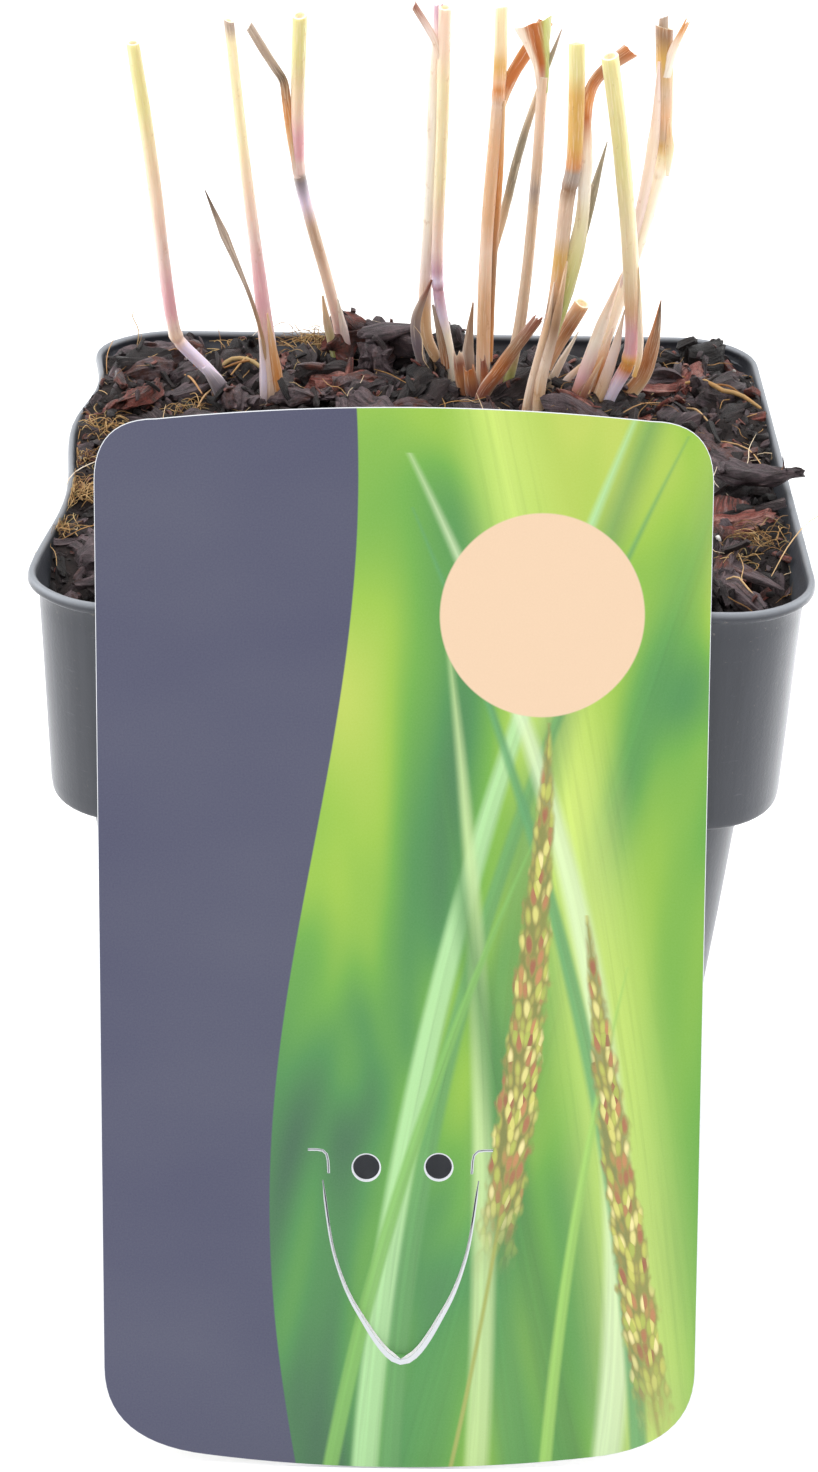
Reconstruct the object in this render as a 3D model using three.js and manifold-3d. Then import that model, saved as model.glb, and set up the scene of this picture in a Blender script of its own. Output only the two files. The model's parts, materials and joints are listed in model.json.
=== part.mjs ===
import * as THREE from 'three';
import { mergeVertices } from 'three/addons/utils/BufferGeometryUtils.js';
import Module from 'manifold-3d';

// Cut-back switchgrass in its square nursery pot, with bark mulch on the soil and a care
// label leaning on the rim. Millimetres, +Z up, origin on the ground under the middle of
// the pot, label towards -Y.

const gap = 0.3; // left between pieces that touch

// Pot: a thin moulded wall that steps outwards under a deep rim band.
const potHeight = 95;
const rimHalf = 45; // half the width over the lip
const bandHalf = 44; // half the width of the band, just under the lip
const shoulderHeight = 66; // underside of the rim band
const bodyHalfTop = 39.3; // half the width of the body, under the shoulder
const baseHalf = 32.8;
const wall = 1;
const floorThickness = 1.8;
const rimCorner = 10.5; // radius of the rounded corners, up to down
const bodyCorner = 9.5;
const baseCorner = 8;
const shoulderSkew = -0.7;
const drainRadius = 3.5;
const drainPlace = 21; // of the drain holes from the middle, along X and Y
const channelWidth = 5;
const channelDepth = 0.8;

// Soil and mulch.
const soilEdge = 90.5; // height of the soil far from the crown
const moundRise = 6.5;
const moundMiddle = [5, 17];
const moundSpread = [32, 17];
const chipRows = 9; // the loose chips stand in a shaken grid of this many rows and columns
const chipSeed = 7;

// Label: a thin printed card.
const cardHalf = 34.3;
const cardHeight = 123;
const cardThickness = 0.6;
const cardMiddle = -1.4; // of the card's width, along X
const cardFoot = -78.2; // where its front face meets the ground
const cardLean = 18.9; // degrees back from upright
const cardTurn = 0.45; // degrees in its own plane
const topCorner = 7;
const bottomCorner = 12;
const topBow = 1.4;
const bottomBow = 2.8;
const holeRadius = 1.65;
const slitWidth = 0.5;

const bladeThickness = 0.65;
const culmSides = 8;
const culmSteps = 7;
const jointSwell = 1.22; // how much thicker a stem is at its joints
const jointReach = 0.022; // of a joint's swelling, as a share of the stem's length

const wasm = await Module();
wasm.setup();

// ---- solids ---------------------------------------------------------------------------

// A closed skin over a stack of loops with the same number of points, each running
// anticlockwise about the way the stack goes. A patch is split along its shorter diagonal,
// so that two skins side by side bend alike. Both ends are closed to their middle.
function loft(loops) {
  const count = loops[0].length;
  const points = loops.flat();
  const faces = [];
  for (let ring = 0; ring + 1 < loops.length; ring++) {
    for (let i = 0; i < count; i++) {
      const a = ring * count + i;
      const b = ring * count + (i + 1) % count;
      const [c, d] = [b + count, a + count];
      if (points[a].distanceTo(points[c]) < points[b].distanceTo(points[d])) faces.push(a, b, c, a, c, d);
      else faces.push(a, b, d, b, c, d);
    }
  }
  for (const end of [0, loops.length - 1]) {
    const middle = points.length;
    points.push(average(loops[end]));
    for (let i = 0; i < count; i++) {
      const a = end * count + i;
      const b = end * count + (i + 1) % count;
      faces.push(middle, ...(end === 0 ? [b, a] : [a, b]));
    }
  }
  const geometry = new THREE.BufferGeometry().setFromPoints(points);
  geometry.setIndex(faces);
  return geometry;
}

function average(points) {
  const sum = points.reduce((total, point) => total.add(point), new THREE.Vector3());
  return sum.divideScalar(points.length);
}

function toSolid(geometry) {
  const bare = geometry.clone();
  bare.deleteAttribute('normal');
  bare.deleteAttribute('uv');
  const merged = mergeVertices(bare);
  return new wasm.Manifold(new wasm.Mesh({
    numProp: 3,
    vertProperties: new Float32Array(merged.attributes.position.array),
    triVerts: new Uint32Array(merged.index.array),
  }));
}

function toGeometry(solid) {
  const mesh = solid.getMesh();
  const geometry = new THREE.BufferGeometry();
  geometry.setAttribute('position', new THREE.BufferAttribute(mesh.vertProperties, 3));
  geometry.setIndex(new THREE.BufferAttribute(mesh.triVerts, 1));
  return geometry;
}

function join(geometries) {
  return geometries.map(toSolid).reduce((whole, solid) => whole.add(solid));
}

// The largest of the bodies that a cut leaves, without the loose scraps.
function largest(solid) {
  return solid.decompose().sort((a, b) => b.volume() - a.volume())[0];
}

function makeRandom(seed) {
  let state = seed;
  return (low, high) => {
    state = (state * 16807) % 2147483647;
    return low + (high - low) * (state / 2147483647);
  };
}

// ---- pot ------------------------------------------------------------------------------

// How far along X the thin wall is out of true. The left side is pressed in a little in two
// places, most at the rim, and the whole pot is skewed a little at the shoulder.
function wallShift(x, y, z) {
  const height = THREE.MathUtils.clamp((z - shoulderHeight) / (potHeight - shoulderHeight), 0, 1);
  const skew = shoulderSkew * (z > shoulderHeight ? 1 - height : Math.max(z, 0) / shoulderHeight);
  if (x > 0) return skew;
  const straight = THREE.MathUtils.smoothstep(rimHalf - Math.abs(y), 0, 6);
  const wave = 0.5 - 0.9 * Math.cos(2 * Math.PI * (y - 9) / (y > 9 ? 31 : 45));
  return skew + wave * straight * height * (x / rimHalf) ** 4;
}

function squareLoop(half, corner, heightAt) {
  const sideSteps = 4;
  const cornerSteps = 5;
  const points = [];
  for (let side = 0; side < 4; side++) {
    const straight = half - corner;
    const quarter = [];
    for (let i = 0; i < sideSteps; i++) quarter.push([half, straight * (2 * i / sideSteps - 1)]);
    for (let i = 0; i < cornerSteps; i++) {
      const angle = i / cornerSteps * Math.PI / 2;
      quarter.push([straight + corner * Math.cos(angle), straight + corner * Math.sin(angle)]);
    }
    for (const [x, y] of quarter) {
      const point = new THREE.Vector2(x, y).rotateAround(new THREE.Vector2(), side * Math.PI / 2);
      const z = typeof heightAt === 'function' ? heightAt(point.x, point.y) : heightAt;
      points.push(new THREE.Vector3(point.x + wallShift(point.x, point.y, z), point.y, z));
    }
  }
  return points;
}

// The pot's profile as half width, corner radius and height, from the base up.
const outerProfile = [
  [baseHalf - 1.6, baseCorner - 1.6, 0],
  [baseHalf - 0.4, baseCorner - 0.4, 0.5],
  [baseHalf, baseCorner, 1.8],
  [bodyHalfTop, bodyCorner, shoulderHeight - 2],
  [bodyHalfTop + 0.6, bodyCorner, shoulderHeight - 0.6],
  [bodyHalfTop + 1.8, bodyCorner + 0.8, shoulderHeight],
  [bandHalf - 1.4, rimCorner - 0.8, shoulderHeight + 0.3],
  [bandHalf - 0.6, rimCorner, shoulderHeight + 1.2],
  [bandHalf, rimCorner, potHeight - 4],
  [bandHalf + 0.25, rimCorner, potHeight - 2.6],
  [rimHalf - 0.1, rimCorner, potHeight - 1.7],
  [rimHalf, rimCorner, potHeight - 0.9],
  [rimHalf - 0.5, rimCorner - 0.4, potHeight - 0.1],
];
const innerProfile = [
  [rimHalf - 1.5, rimCorner - 1.2, potHeight],
  [bandHalf - wall - 0.1, rimCorner - wall, potHeight - 1.2],
  [bandHalf - wall - 0.2, rimCorner - wall, potHeight - 9],
  [bandHalf - wall - 0.6, rimCorner - wall, shoulderHeight + 2.2],
  [bandHalf - wall - 1.6, rimCorner - wall - 0.6, shoulderHeight + 1.3],
  [bodyHalfTop - wall + 1.4, bodyCorner, shoulderHeight + 1],
  [bodyHalfTop - wall, bodyCorner - wall, shoulderHeight - 1.2],
  [baseHalf - wall, baseCorner - wall, floorThickness + 1.2],
  [baseHalf - wall - 1.2, baseCorner - wall - 1.2, floorThickness],
];

function potShape() {
  const loops = [...outerProfile, ...innerProfile].map((line) => squareLoop(...line));
  let pot = toSolid(loft(loops));
  for (const turn of [0, Math.PI / 2]) {
    for (const place of [-drainPlace, drainPlace]) {
      const channel = new THREE.BoxGeometry(3 * baseHalf, channelWidth, 2 * channelDepth);
      pot = pot.subtract(toSolid(channel.translate(0, place, 0).rotateZ(turn)));
    }
  }
  for (const x of [-drainPlace, 0, drainPlace]) {
    for (const y of [-drainPlace, 0, drainPlace]) {
      if (x === 0 && y === 0) continue;
      const drain = new THREE.CylinderGeometry(drainRadius, drainRadius, 3 * floorThickness, 12);
      pot = pot.subtract(toSolid(drain.rotateX(Math.PI / 2).translate(x, y, floorThickness / 2)));
    }
  }
  return toGeometry(pot);
}

// ---- stems ----------------------------------------------------------------------------

// Sweeps a flat outline along a smooth path. The outline's first axis lies across the blade,
// turned by so many degrees about the path from facing -Y.
function sweep(path, steps, outlineAt, turnAt = () => 0) {
  const curve = new THREE.CatmullRomCurve3(path.map((point) => new THREE.Vector3(...point)));
  const loops = steps.map((share) => {
    const middle = curve.getPointAt(share);
    const along = curve.getTangentAt(share);
    const across = new THREE.Vector3().crossVectors(along, new THREE.Vector3(0, -1, 0)).normalize();
    across.applyAxisAngle(along, THREE.MathUtils.degToRad(turnAt(share)));
    const through = new THREE.Vector3().crossVectors(along, across);
    return outlineAt(share).map(([a, b]) => (
      middle.clone().addScaledVector(across, a).addScaledVector(through, b)));
  });
  return loft(loops);
}

function evenSteps(count) {
  return Array.from({ length: count + 1 }, (unused, i) => i / count);
}

function between(values, share) {
  const place = share * (values.length - 1);
  const index = Math.min(Math.floor(place), values.length - 2);
  return THREE.MathUtils.lerp(values[index], values[index + 1], place - index);
}

// A culm: round, a little thinner upwards, swollen at its joints and cut off level.
function culm({ path, radius, joints = [] }, grow) {
  const steps = evenSteps(culmSteps);
  for (const joint of joints) steps.push(joint - jointReach, joint, joint + jointReach);
  steps.sort((a, b) => a - b);
  const ring = (share) => {
    const swollen = joints.some((joint) => Math.abs(share - joint) < jointReach / 2);
    const size = between(radius, share) * (swollen ? jointSwell : 1) + grow;
    return evenSteps(culmSides).slice(1).map((turn) => [
      size * Math.cos(2 * Math.PI * turn), size * Math.sin(2 * Math.PI * turn)]);
  };
  return sweep(path, steps, ring);
}

// A dry sheath or blade: a thin strip with its widths and turns given along the path.
function strip({ path, widths, turns = [0, 0] }, grow) {
  const thickness = bladeThickness / 2 + grow;
  const outline = (share) => {
    const half = between(widths, share) / 2 + grow;
    return [[half, -thickness], [half, thickness], [-half, thickness], [-half, -thickness]];
  };
  return sweep(path, evenSteps(2 * (path.length - 1)), outline, (share) => between(turns, share));
}

// The tillers from left to right. A path runs from the crown under the soil to the cut end.
const stems = {
  stem_1: {
    colour: 0xd8b48a,
    culm: {
      path: [[-25, 20.5, 83], [-26.5, 20, 95.5], [-28.3, 19.5, 98.5], [-32.2, 18.6, 103.2],
        [-32.8, 18, 105.6], [-34.5, 13.5, 128.5], [-35.9, 10, 144]],
      radius: [0.85, 0.8, 0.9, 0.95, 0.9],
      joints: [0.36],
    },
    strips: [
      { path: [[-25.6, 20, 90], [-26.6, 19.6, 96], [-28.4, 19.2, 99.8]], widths: [2.2, 2.4, 1.6] },
    ],
  },
  stem_2: {
    colour: 0xd99a70,
    culm: {
      path: [[-20, 20.5, 83], [-20.2, 20.2, 95.5], [-21.3, 19.6, 108.4], [-23.2, 18.5, 127],
        [-24.8, 17.5, 145]],
      radius: [1.2, 1.2, 0.95, 0.75, 0.7],
    },
    strips: [{
      path: [[-20.7, 19.8, 98], [-21.2, 19.2, 103], [-22.6, 18, 109], [-25.1, 17, 116], [-28, 15, 124.3]],
      widths: [0.9, 0.8, 0.9, 1.3, 0.6], turns: [0, 20],
    }],
  },
  stem_3: {
    colour: 0xc9987c,
    culm: {
      path: [[-11, 36, 84], [-11.5, 35.6, 96.5], [-13, 33.4, 105], [-15.5, 30.6, 115.6],
        [-16.8, 28.7, 122.5], [-16.9, 27, 129], [-16.3, 22.4, 144.5]],
      radius: [0.85, 0.8, 0.8, 0.9, 0.95],
      joints: [0.645],
    },
    strips: [
      {
        path: [[-16.9, 28, 122], [-17.7, 26.6, 128.5], [-18.1, 25.5, 133], [-18.4, 24.8, 135.8],
          [-21, 23.6, 140], [-22.6, 23, 142.9]],
        widths: [1.2, 1.3, 1.4, 1.5], turns: [0, 25],
      },
      { path: [[-12, 35, 92], [-13.2, 33.6, 99], [-14.2, 32.4, 104]], widths: [1.2, 1.3, 0.7] },
    ],
  },
  stem_4: {
    colour: 0xd6a38c,
    culm: {
      path: [[3, 25.5, 84], [3.2, 25.1, 97.5], [2.2, 24.6, 103.5], [1.3, 24.1, 109.8],
        [1.6, 22.6, 130], [1.7, 21.3, 146]],
      radius: [0.8, 0.75, 0.8, 0.8],
      joints: [0.41],
    },
    strips: [
      {
        path: [[2.2, 25.6, 88], [1.4, 25.6, 98], [-0.1, 25.5, 101.7], [-0.5, 24.8, 108],
          [-0.1, 24, 120.6], [0.1, 23, 134], [0.8, 22.2, 143]],
        widths: [1.2, 1.4, 1.8, 1.3, 1.1, 1, 1],
      },
      {
        path: [[1.4, 22, 140.5], [0.6, 21.6, 142.3], [-2, 21, 146.2]],
        widths: [0.9, 0.9, 0.8], turns: [0, 30],
      },
      { path: [[2.6, 24.6, 96.5], [1.9, 24.6, 101], [0.7, 24.8, 105.5]], widths: [1.1, 1.3, 0.6] },
    ],
  },
  stem_5: {
    colour: 0xc88a52,
    culm: {
      path: [[7.4, 20.8, 84], [7.4, 20.5, 97.5], [7.5, 20.9, 116.2], [8.6, 21.4, 135.9], [8.7, 21.6, 146]],
      radius: [1, 0.98, 0.95, 0.95, 0.9],
      joints: [0.82],
    },
    strips: [
      {
        path: [[8.8, 21.6, 134.5], [10.2, 22.1, 137.6], [14.2, 23, 143.6]],
        widths: [1.4, 1.6, 2], turns: [0, 20],
      },
      { path: [[6, 20.4, 92], [5.5, 20.4, 101.5], [6, 20.2, 107.5]], widths: [1.4, 1.5, 0.6] },
      { path: [[6.2, 20.2, 91], [4.6, 20.3, 96.5], [3.5, 20.8, 100]], widths: [2.2, 2.2, 0.7] },
    ],
  },
  stem_6: {
    colour: 0xb98d6a,
    culm: {
      path: [[9.9, 18.2, 84], [10.2, 18, 95.5], [12, 17.8, 106.5], [13.4, 17.5, 125], [13.9, 17.2, 138.6]],
      radius: [0.85, 0.75, 0.7, 0.65],
    },
    strips: [
      {
        path: [[13.9, 17.2, 137], [13.7, 17.1, 140.5], [13.1, 17, 142.6], [12.5, 17, 145.2]],
        widths: [1.3, 1.6, 2.7, 4.5],
      },
      { path: [[13.9, 17.1, 138.5], [14.7, 17, 141.3], [15.6, 17, 144.5]], widths: [0.8, 0.9, 0.8] },
      {
        path: [[13.5, 17.4, 137], [11.4, 20.5, 128.3], [9.7, 23.4, 119], [8.2, 24.6, 112]],
        widths: [1, 1.2, 1.2, 0.7],
      },
    ],
  },
  stem_7: {
    colour: 0xc79a4c,
    culm: {
      path: [[13.2, 13.7, 84], [13.4, 13.5, 96.5], [16, 12.7, 110.2], [17.2, 11.8, 125], [17.8, 11.4, 129],
        [17.8, 10.9, 139], [17.6, 10.5, 144.5]],
      radius: [1, 1, 1, 1.05, 1.05],
      joints: [0.71],
    },
    strips: [
      {
        path: [[14.9, 13, 102], [17.8, 12.8, 114], [19.1, 12.5, 121], [19.5, 12.2, 129], [19.4, 12, 137],
          [20, 12.2, 140], [22.3, 12.3, 141.8], [24.4, 12.4, 143.2]],
        widths: [0.8, 1.2, 1.5, 1.5, 1.6, 1.9, 2.1, 2.3], turns: [0, 0, 0, 0, 10, 50, 60, 20],
      },
      {
        path: [[17.6, 13, 113.5], [19.7, 13.6, 120.8], [20.7, 14, 125.8], [22, 14.4, 131.3]],
        widths: [0.8, 1.2, 1.1, 0.6],
      },
    ],
  },
  stem_8: {
    colour: 0xd6cf7a,
    culm: {
      path: [[22.6, 15.8, 84], [23.3, 15.2, 96], [25.9, 14.3, 102.6], [26.2, 13.8, 106], [25.1, 12, 119.4],
        [23.5, 10.3, 131.5], [21.5, 8.5, 143.5]],
      radius: [0.85, 0.85, 1.05, 1.05, 1.05],
      joints: [0.325],
    },
    strips: [],
  },
  stem_9: {
    colour: 0xcf9a6e,
    culm: {
      path: [[20, 17.2, 84], [20.6, 16.9, 96], [23.7, 16.8, 107.3], [26.8, 16.8, 118], [28.9, 16.8, 127],
        [29.2, 16.8, 130.5], [28.5, 16.7, 145]],
      radius: [1.05, 1, 0.95, 1, 1.1],
      joints: [0.71],
    },
    strips: [
      {
        path: [[25, 16.4, 112], [26.1, 16, 121.8], [27.2, 16, 134], [27.8, 16, 141.4]],
        widths: [0.8, 1, 1, 0.8],
      },
      {
        path: [[28.8, 16.4, 140.5], [29.5, 16, 143.2], [30.8, 15.6, 146]],
        widths: [0.9, 0.9, 0.8], turns: [0, 30],
      },
      { path: [[20.9, 17.3, 91], [22, 17.1, 98.6], [23.9, 16.6, 105]], widths: [1.6, 1.8, 0.7] },
    ],
  },
  stem_stub: {
    colour: 0xb58a55,
    culm: { path: [[14, 23.6, 84], [15.1, 23, 96.9], [20, 20, 108.4]], radius: [1, 1, 1.05] },
    strips: [],
  },
  dry_leaf_right: {
    colour: 0x8a6040,
    strips: [{
      path: [[25.4, 17.6, 84], [26, 17.4, 96], [28.1, 17.2, 100], [29.2, 16.8, 105], [29.7, 16.2, 110]],
      widths: [1.2, 1.3, 1.9, 1.8, 0.7],
    }],
  },
  dry_leaf_middle: {
    colour: 0x8f5a3c,
    strips: [{
      path: [[7, 17, 86], [7.3, 17.2, 96], [9.2, 16, 99.6], [11.4, 15.2, 103.4], [13.4, 15, 107.4]],
      widths: [1.6, 1.6, 1.9, 1.7, 1], turns: [0, 0, 25],
    }],
  },
};

function stemShape(stem, grow = 0) {
  const culms = stem.culm ? [culm(stem.culm, grow)] : [];
  return join([...culms, ...stem.strips.map((each) => strip(each, grow))]);
}

// ---- soil and mulch -------------------------------------------------------------------

function soilHeight(x, y) {
  const across = (x - moundMiddle[0]) / moundSpread[0];
  const along = (y - moundMiddle[1]) / moundSpread[1];
  const ripple = 0.4 * Math.sin(x / 4.3 + 1) * Math.cos(y / 5.1);
  return soilEdge + moundRise * Math.exp(-(across ** 2 + along ** 2) / 2) + ripple;
}

function soilPlug() {
  const inner = innerProfile.slice(1).reverse();
  const loops = inner.map(([half, corner, z], i) => (
    squareLoop(half - gap, corner - gap, i === 0 ? z + gap : z + 0.4)));
  const topHalf = inner.at(-1)[0] - gap;
  const topCornerRadius = inner.at(-1)[1] - gap;
  loops[loops.length - 1] = squareLoop(topHalf - 0.1, topCornerRadius, soilHeight);
  for (let share = 0.84; share > 0.1; share -= 0.18) {
    loops.push(squareLoop(topHalf * share, topCornerRadius * share, soilHeight));
  }
  return loft(loops);
}

// A bark chip: a box with shaken corners, longest along its own X.
function chip(random, [length, width, thickness]) {
  const box = new THREE.BoxGeometry(length, width, thickness);
  box.deleteAttribute('normal');
  box.deleteAttribute('uv');
  const shape = mergeVertices(box);
  const corners = shape.attributes.position;
  for (let i = 0; i < corners.count; i++) {
    corners.setXYZ(i, corners.getX(i) * random(0.65, 1.1), corners.getY(i) * random(0.6, 1.1),
      corners.getZ(i) * random(0.7, 1.1));
  }
  return shape;
}

function placeChip(shape, [x, y, z], yaw, pitch, roll) {
  const turn = new THREE.Euler(roll, pitch, yaw, 'ZYX');
  return shape.applyMatrix4(new THREE.Matrix4().makeRotationFromEuler(turn)).translate(x, y, z);
}

// Chips that stand out by themselves: place, size, then yaw and pitch in degrees.
const largeChips = [
  [[-10, 37, 97], [8, 6, 4.5], 20, -8],
  [[-4.5, 35, 97.6], [10, 5, 3.5], -25, 6],
  [[2, 37, 96], [8, 5, 4], 60, -8],
  [[-6.5, 31, 96.5], [8, 5, 4], 80, 10],
  [[37.5, 36.5, 95.6], [8, 5.5, 4.5], 30, 0],
  [[32, 38, 94], [8, 5, 3], -20, 6],
  [[-38.5, 25, 93.4], [11, 4.5, 2.6], 62, -6],
  [[-30, 29, 94], [9, 6, 3], 10, 8],
  [[37, -15, 92.6], [9, 8, 3], 75, -14],
  [[36.5, -33, 91.6], [10, 3.5, 2.4], -55, 4],
  [[-37.5, -27, 91.8], [9, 7, 3.4], 30, 8],
  [[36, 22, 93.6], [12, 3.5, 2.4], -38, 0],
];
const rimChip = [[41.4, -9.6, 97.2], [11, 4.4, 2], -24, -9];

function soilShape() {
  const random = makeRandom(chipSeed);
  const reach = bandHalf - wall - 3;
  const placed = [toSolid(soilPlug())];
  for (let row = 0; row < chipRows; row++) {
    for (let column = 0; column < chipRows; column++) {
      const shape = chip(random, [random(8, 13), random(4.5, 7.5), random(2, 3.6)]);
      const x = reach * (2 * (column + random(0.1, 0.9)) / chipRows - 1);
      const y = reach * (2 * (row + random(0.1, 0.9)) / chipRows - 1);
      const z = soilHeight(x, y) + random(-0.2, 0.6);
      const turns = [random(0, Math.PI), random(-0.35, 0.35), random(-0.4, 0.4)];
      placed.push(toSolid(placeChip(shape, [x, y, z], ...turns)));
    }
  }
  const rad = THREE.MathUtils.degToRad;
  for (const [place, size, yaw, pitch] of largeChips) {
    placed.push(toSolid(placeChip(chip(random, size), place, rad(yaw), rad(pitch), 0)));
  }
  const topHalf = innerProfile[1][0] - gap - 0.15;
  const insidePot = [
    squareLoop(baseHalf / 2, baseCorner / 2, floorThickness + gap / 2),
    squareLoop(topHalf, rimCorner - wall, shoulderHeight),
    squareLoop(topHalf, rimCorner - wall, potHeight),
    squareLoop(topHalf, rimCorner - wall, potHeight + 12),
  ];
  let soil = placed.reduce((whole, solid) => whole.add(solid));
  const plug = placed[0];
  soil = plug.add(soil.intersect(toSolid(loft(insidePot))));
  const [place, size, yaw, pitch] = rimChip;
  soil = soil.add(toSolid(placeChip(chip(random, size), place, rad(yaw), rad(pitch), 0)));
  for (const stem of Object.values(stems)) {
    soil = soil.subtract(stemShape(stem, gap));
  }
  return toGeometry(largest(soil));
}

// ---- label ----------------------------------------------------------------------------

// The outline of a cut of the given width along a run of points.
function cutAlong(points, width) {
  const there = [];
  const back = [];
  points.forEach((point, i) => {
    const before = points[Math.max(i - 1, 0)];
    const after = points[Math.min(i + 1, points.length - 1)];
    const side = new THREE.Vector2().subVectors(after, before).normalize();
    side.rotateAround(new THREE.Vector2(), Math.PI / 2).multiplyScalar(width / 2);
    there.push(point.clone().add(side));
    back.unshift(point.clone().sub(side));
  });
  return new THREE.Path([...there, ...back]);
}

function labelShape() {
  const side = cardHalf;
  const outline = new THREE.Shape();
  outline.moveTo(-side, bottomCorner);
  outline.quadraticCurveTo(-side, bottomBow, -side + bottomCorner, bottomBow / 2);
  outline.quadraticCurveTo(0, -bottomBow / 2, side - bottomCorner, bottomBow / 2);
  outline.quadraticCurveTo(side, bottomBow, side, bottomCorner);
  outline.lineTo(side, cardHeight - topBow - topCorner);
  outline.quadraticCurveTo(side, cardHeight - topBow, side - topCorner, cardHeight - topBow);
  outline.quadraticCurveTo(0, cardHeight + topBow, -side + topCorner, cardHeight - topBow);
  outline.quadraticCurveTo(-side, cardHeight - topBow, -side, cardHeight - topBow - topCorner);
  const tongue = new THREE.SplineCurve([[-8.9, 34.8], [-7.4, 25.5], [-4.8, 19.2], [0.3, 13.2], [5, 19.2],
    [7.5, 25.5], [9, 34.8]].map((point) => new THREE.Vector2(...point)));
  outline.holes.push(cutAlong(tongue.getPoints(16), slitWidth));
  for (const [x, y] of [[-3.9, 36.3], [4.4, 36.4]]) {
    outline.holes.push(new THREE.Path().absarc(x, y, holeRadius, 0, 2 * Math.PI));
  }
  for (const way of [-1, 1]) {
    const notch = [[10.6, 38.4], [8.3, 38.3], [8.2, 35.6]].map(([x, y]) => new THREE.Vector2(way * x, y));
    outline.holes.push(cutAlong(notch, slitWidth));
  }
  const card = new THREE.ExtrudeGeometry(outline, {
    depth: cardThickness,
    bevelEnabled: false,
    curveSegments: 8,
  });
  return card.translate(0, 0, -cardThickness);
}

// ---- assembly -------------------------------------------------------------------------

function piece(name, geometry, color, roughness) {
  const material = new THREE.MeshStandardMaterial({ color, roughness, metalness: 0 });
  const mesh = new THREE.Mesh(geometry, material);
  mesh.name = name;
  return mesh;
}

const plant = new THREE.Group();
plant.add(piece('pot', potShape(), 0x2b2c30, 0.55));
plant.add(piece('soil', soilShape(), 0x2e2320, 0.95));
for (const [name, stem] of Object.entries(stems)) {
  plant.add(piece(name, toGeometry(stemShape(stem)), stem.colour, 0.7));
}

// The card stands on its bottom edge and leans back: turned in its plane, then tipped.
const label = piece('label', labelShape(), 0x6f9a4c, 0.5);
label.rotation.z = THREE.MathUtils.degToRad(cardTurn);
const card = new THREE.Group();
card.add(label);
card.rotation.x = THREE.MathUtils.degToRad(90 - cardLean);
card.position.set(cardMiddle, cardFoot, cardThickness * Math.cos(card.rotation.x));
plant.add(card);

export default plant;
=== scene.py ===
import json
import math
import random
from itertools import product

import bpy
import numpy as np
from mathutils import Matrix, Vector, geometry, noise

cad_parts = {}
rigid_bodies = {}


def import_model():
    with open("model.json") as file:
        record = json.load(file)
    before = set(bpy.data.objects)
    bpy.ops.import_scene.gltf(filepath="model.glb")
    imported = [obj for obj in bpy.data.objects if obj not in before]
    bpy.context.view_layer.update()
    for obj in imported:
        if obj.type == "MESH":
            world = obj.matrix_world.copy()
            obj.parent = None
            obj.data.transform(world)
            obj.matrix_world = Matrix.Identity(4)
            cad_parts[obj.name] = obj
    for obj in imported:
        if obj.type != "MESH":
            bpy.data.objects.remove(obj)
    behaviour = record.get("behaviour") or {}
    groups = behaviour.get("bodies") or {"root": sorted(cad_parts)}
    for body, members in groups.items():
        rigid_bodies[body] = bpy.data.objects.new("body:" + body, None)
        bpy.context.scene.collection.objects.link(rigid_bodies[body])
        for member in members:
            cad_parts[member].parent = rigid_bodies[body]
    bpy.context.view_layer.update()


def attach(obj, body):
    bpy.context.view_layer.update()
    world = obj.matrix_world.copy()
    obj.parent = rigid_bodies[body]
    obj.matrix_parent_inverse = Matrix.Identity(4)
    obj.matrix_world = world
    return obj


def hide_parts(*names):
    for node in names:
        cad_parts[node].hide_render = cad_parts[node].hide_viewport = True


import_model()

# Cut-back switchgrass in a square nursery pot, with bark mulch on the soil and a printed card
# leaning on the rim. Places and sizes here are in millimetres; meshes are made in metres.

scene = bpy.context.scene
mm = 0.001


# A display colour, 0 to 255, as the linear colour that a shader takes.
def paint(red, green, blue):
    shares = [value / 255 for value in (red, green, blue)]
    return tuple(s / 12.92 if s < 0.0405 else ((s + 0.055) / 1.055) ** 2.4 for s in shares)


# A new node. An input that is a socket is linked, and any other value is set.
def addNode(tree, kind, inputs=None, **settings):
    node = tree.nodes.new(kind)
    for key, value in settings.items():
        setattr(node, key, value)
    for key, value in (inputs or {}).items():
        if isinstance(value, bpy.types.NodeSocket):
            tree.links.new(value, node.inputs[key])
        else:
            node.inputs[key].default_value = value
    return node


# A new node tree with its named inputs and outputs, and the sockets that give its inputs.
def newTree(name, kind, inputs, outputs):
    tree = bpy.data.node_groups.new(name, kind)
    for way, sockets in (("INPUT", inputs), ("OUTPUT", outputs)):
        for label, socket in sockets:
            tree.interface.new_socket(label, in_out=way, socket_type="NodeSocket" + socket)
    return tree, addNode(tree, "NodeGroupInput").outputs


def calc(tree, operation, a, b=0.0, c=0.0, clamp=False):
    values = {0: a, 1: b, 2: c}
    return addNode(tree, "ShaderNodeMath", values, operation=operation, use_clamp=clamp).outputs[0]


def times(tree, a, b):
    return calc(tree, "MULTIPLY", a, b)


def timesPlus(tree, a, b, c, clamp=False):
    return calc(tree, "MULTIPLY_ADD", a, b, c, clamp)


def combined(tree, x=0.0, y=0.0, z=0.0):
    return addNode(tree, "ShaderNodeCombineXYZ", {0: x, 1: y, 2: z}).outputs[0]


def separated(tree, vector):
    return addNode(tree, "ShaderNodeSeparateXYZ", {0: vector}).outputs


def rangeOf(tree, value, low, high, toLow=0.0, toHigh=1.0):
    values = {0: value, 1: low, 2: high, 3: toLow, 4: toHigh}
    return addNode(tree, "ShaderNodeMapRange", values, interpolation_type="SMOOTHSTEP").outputs[0]


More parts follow.
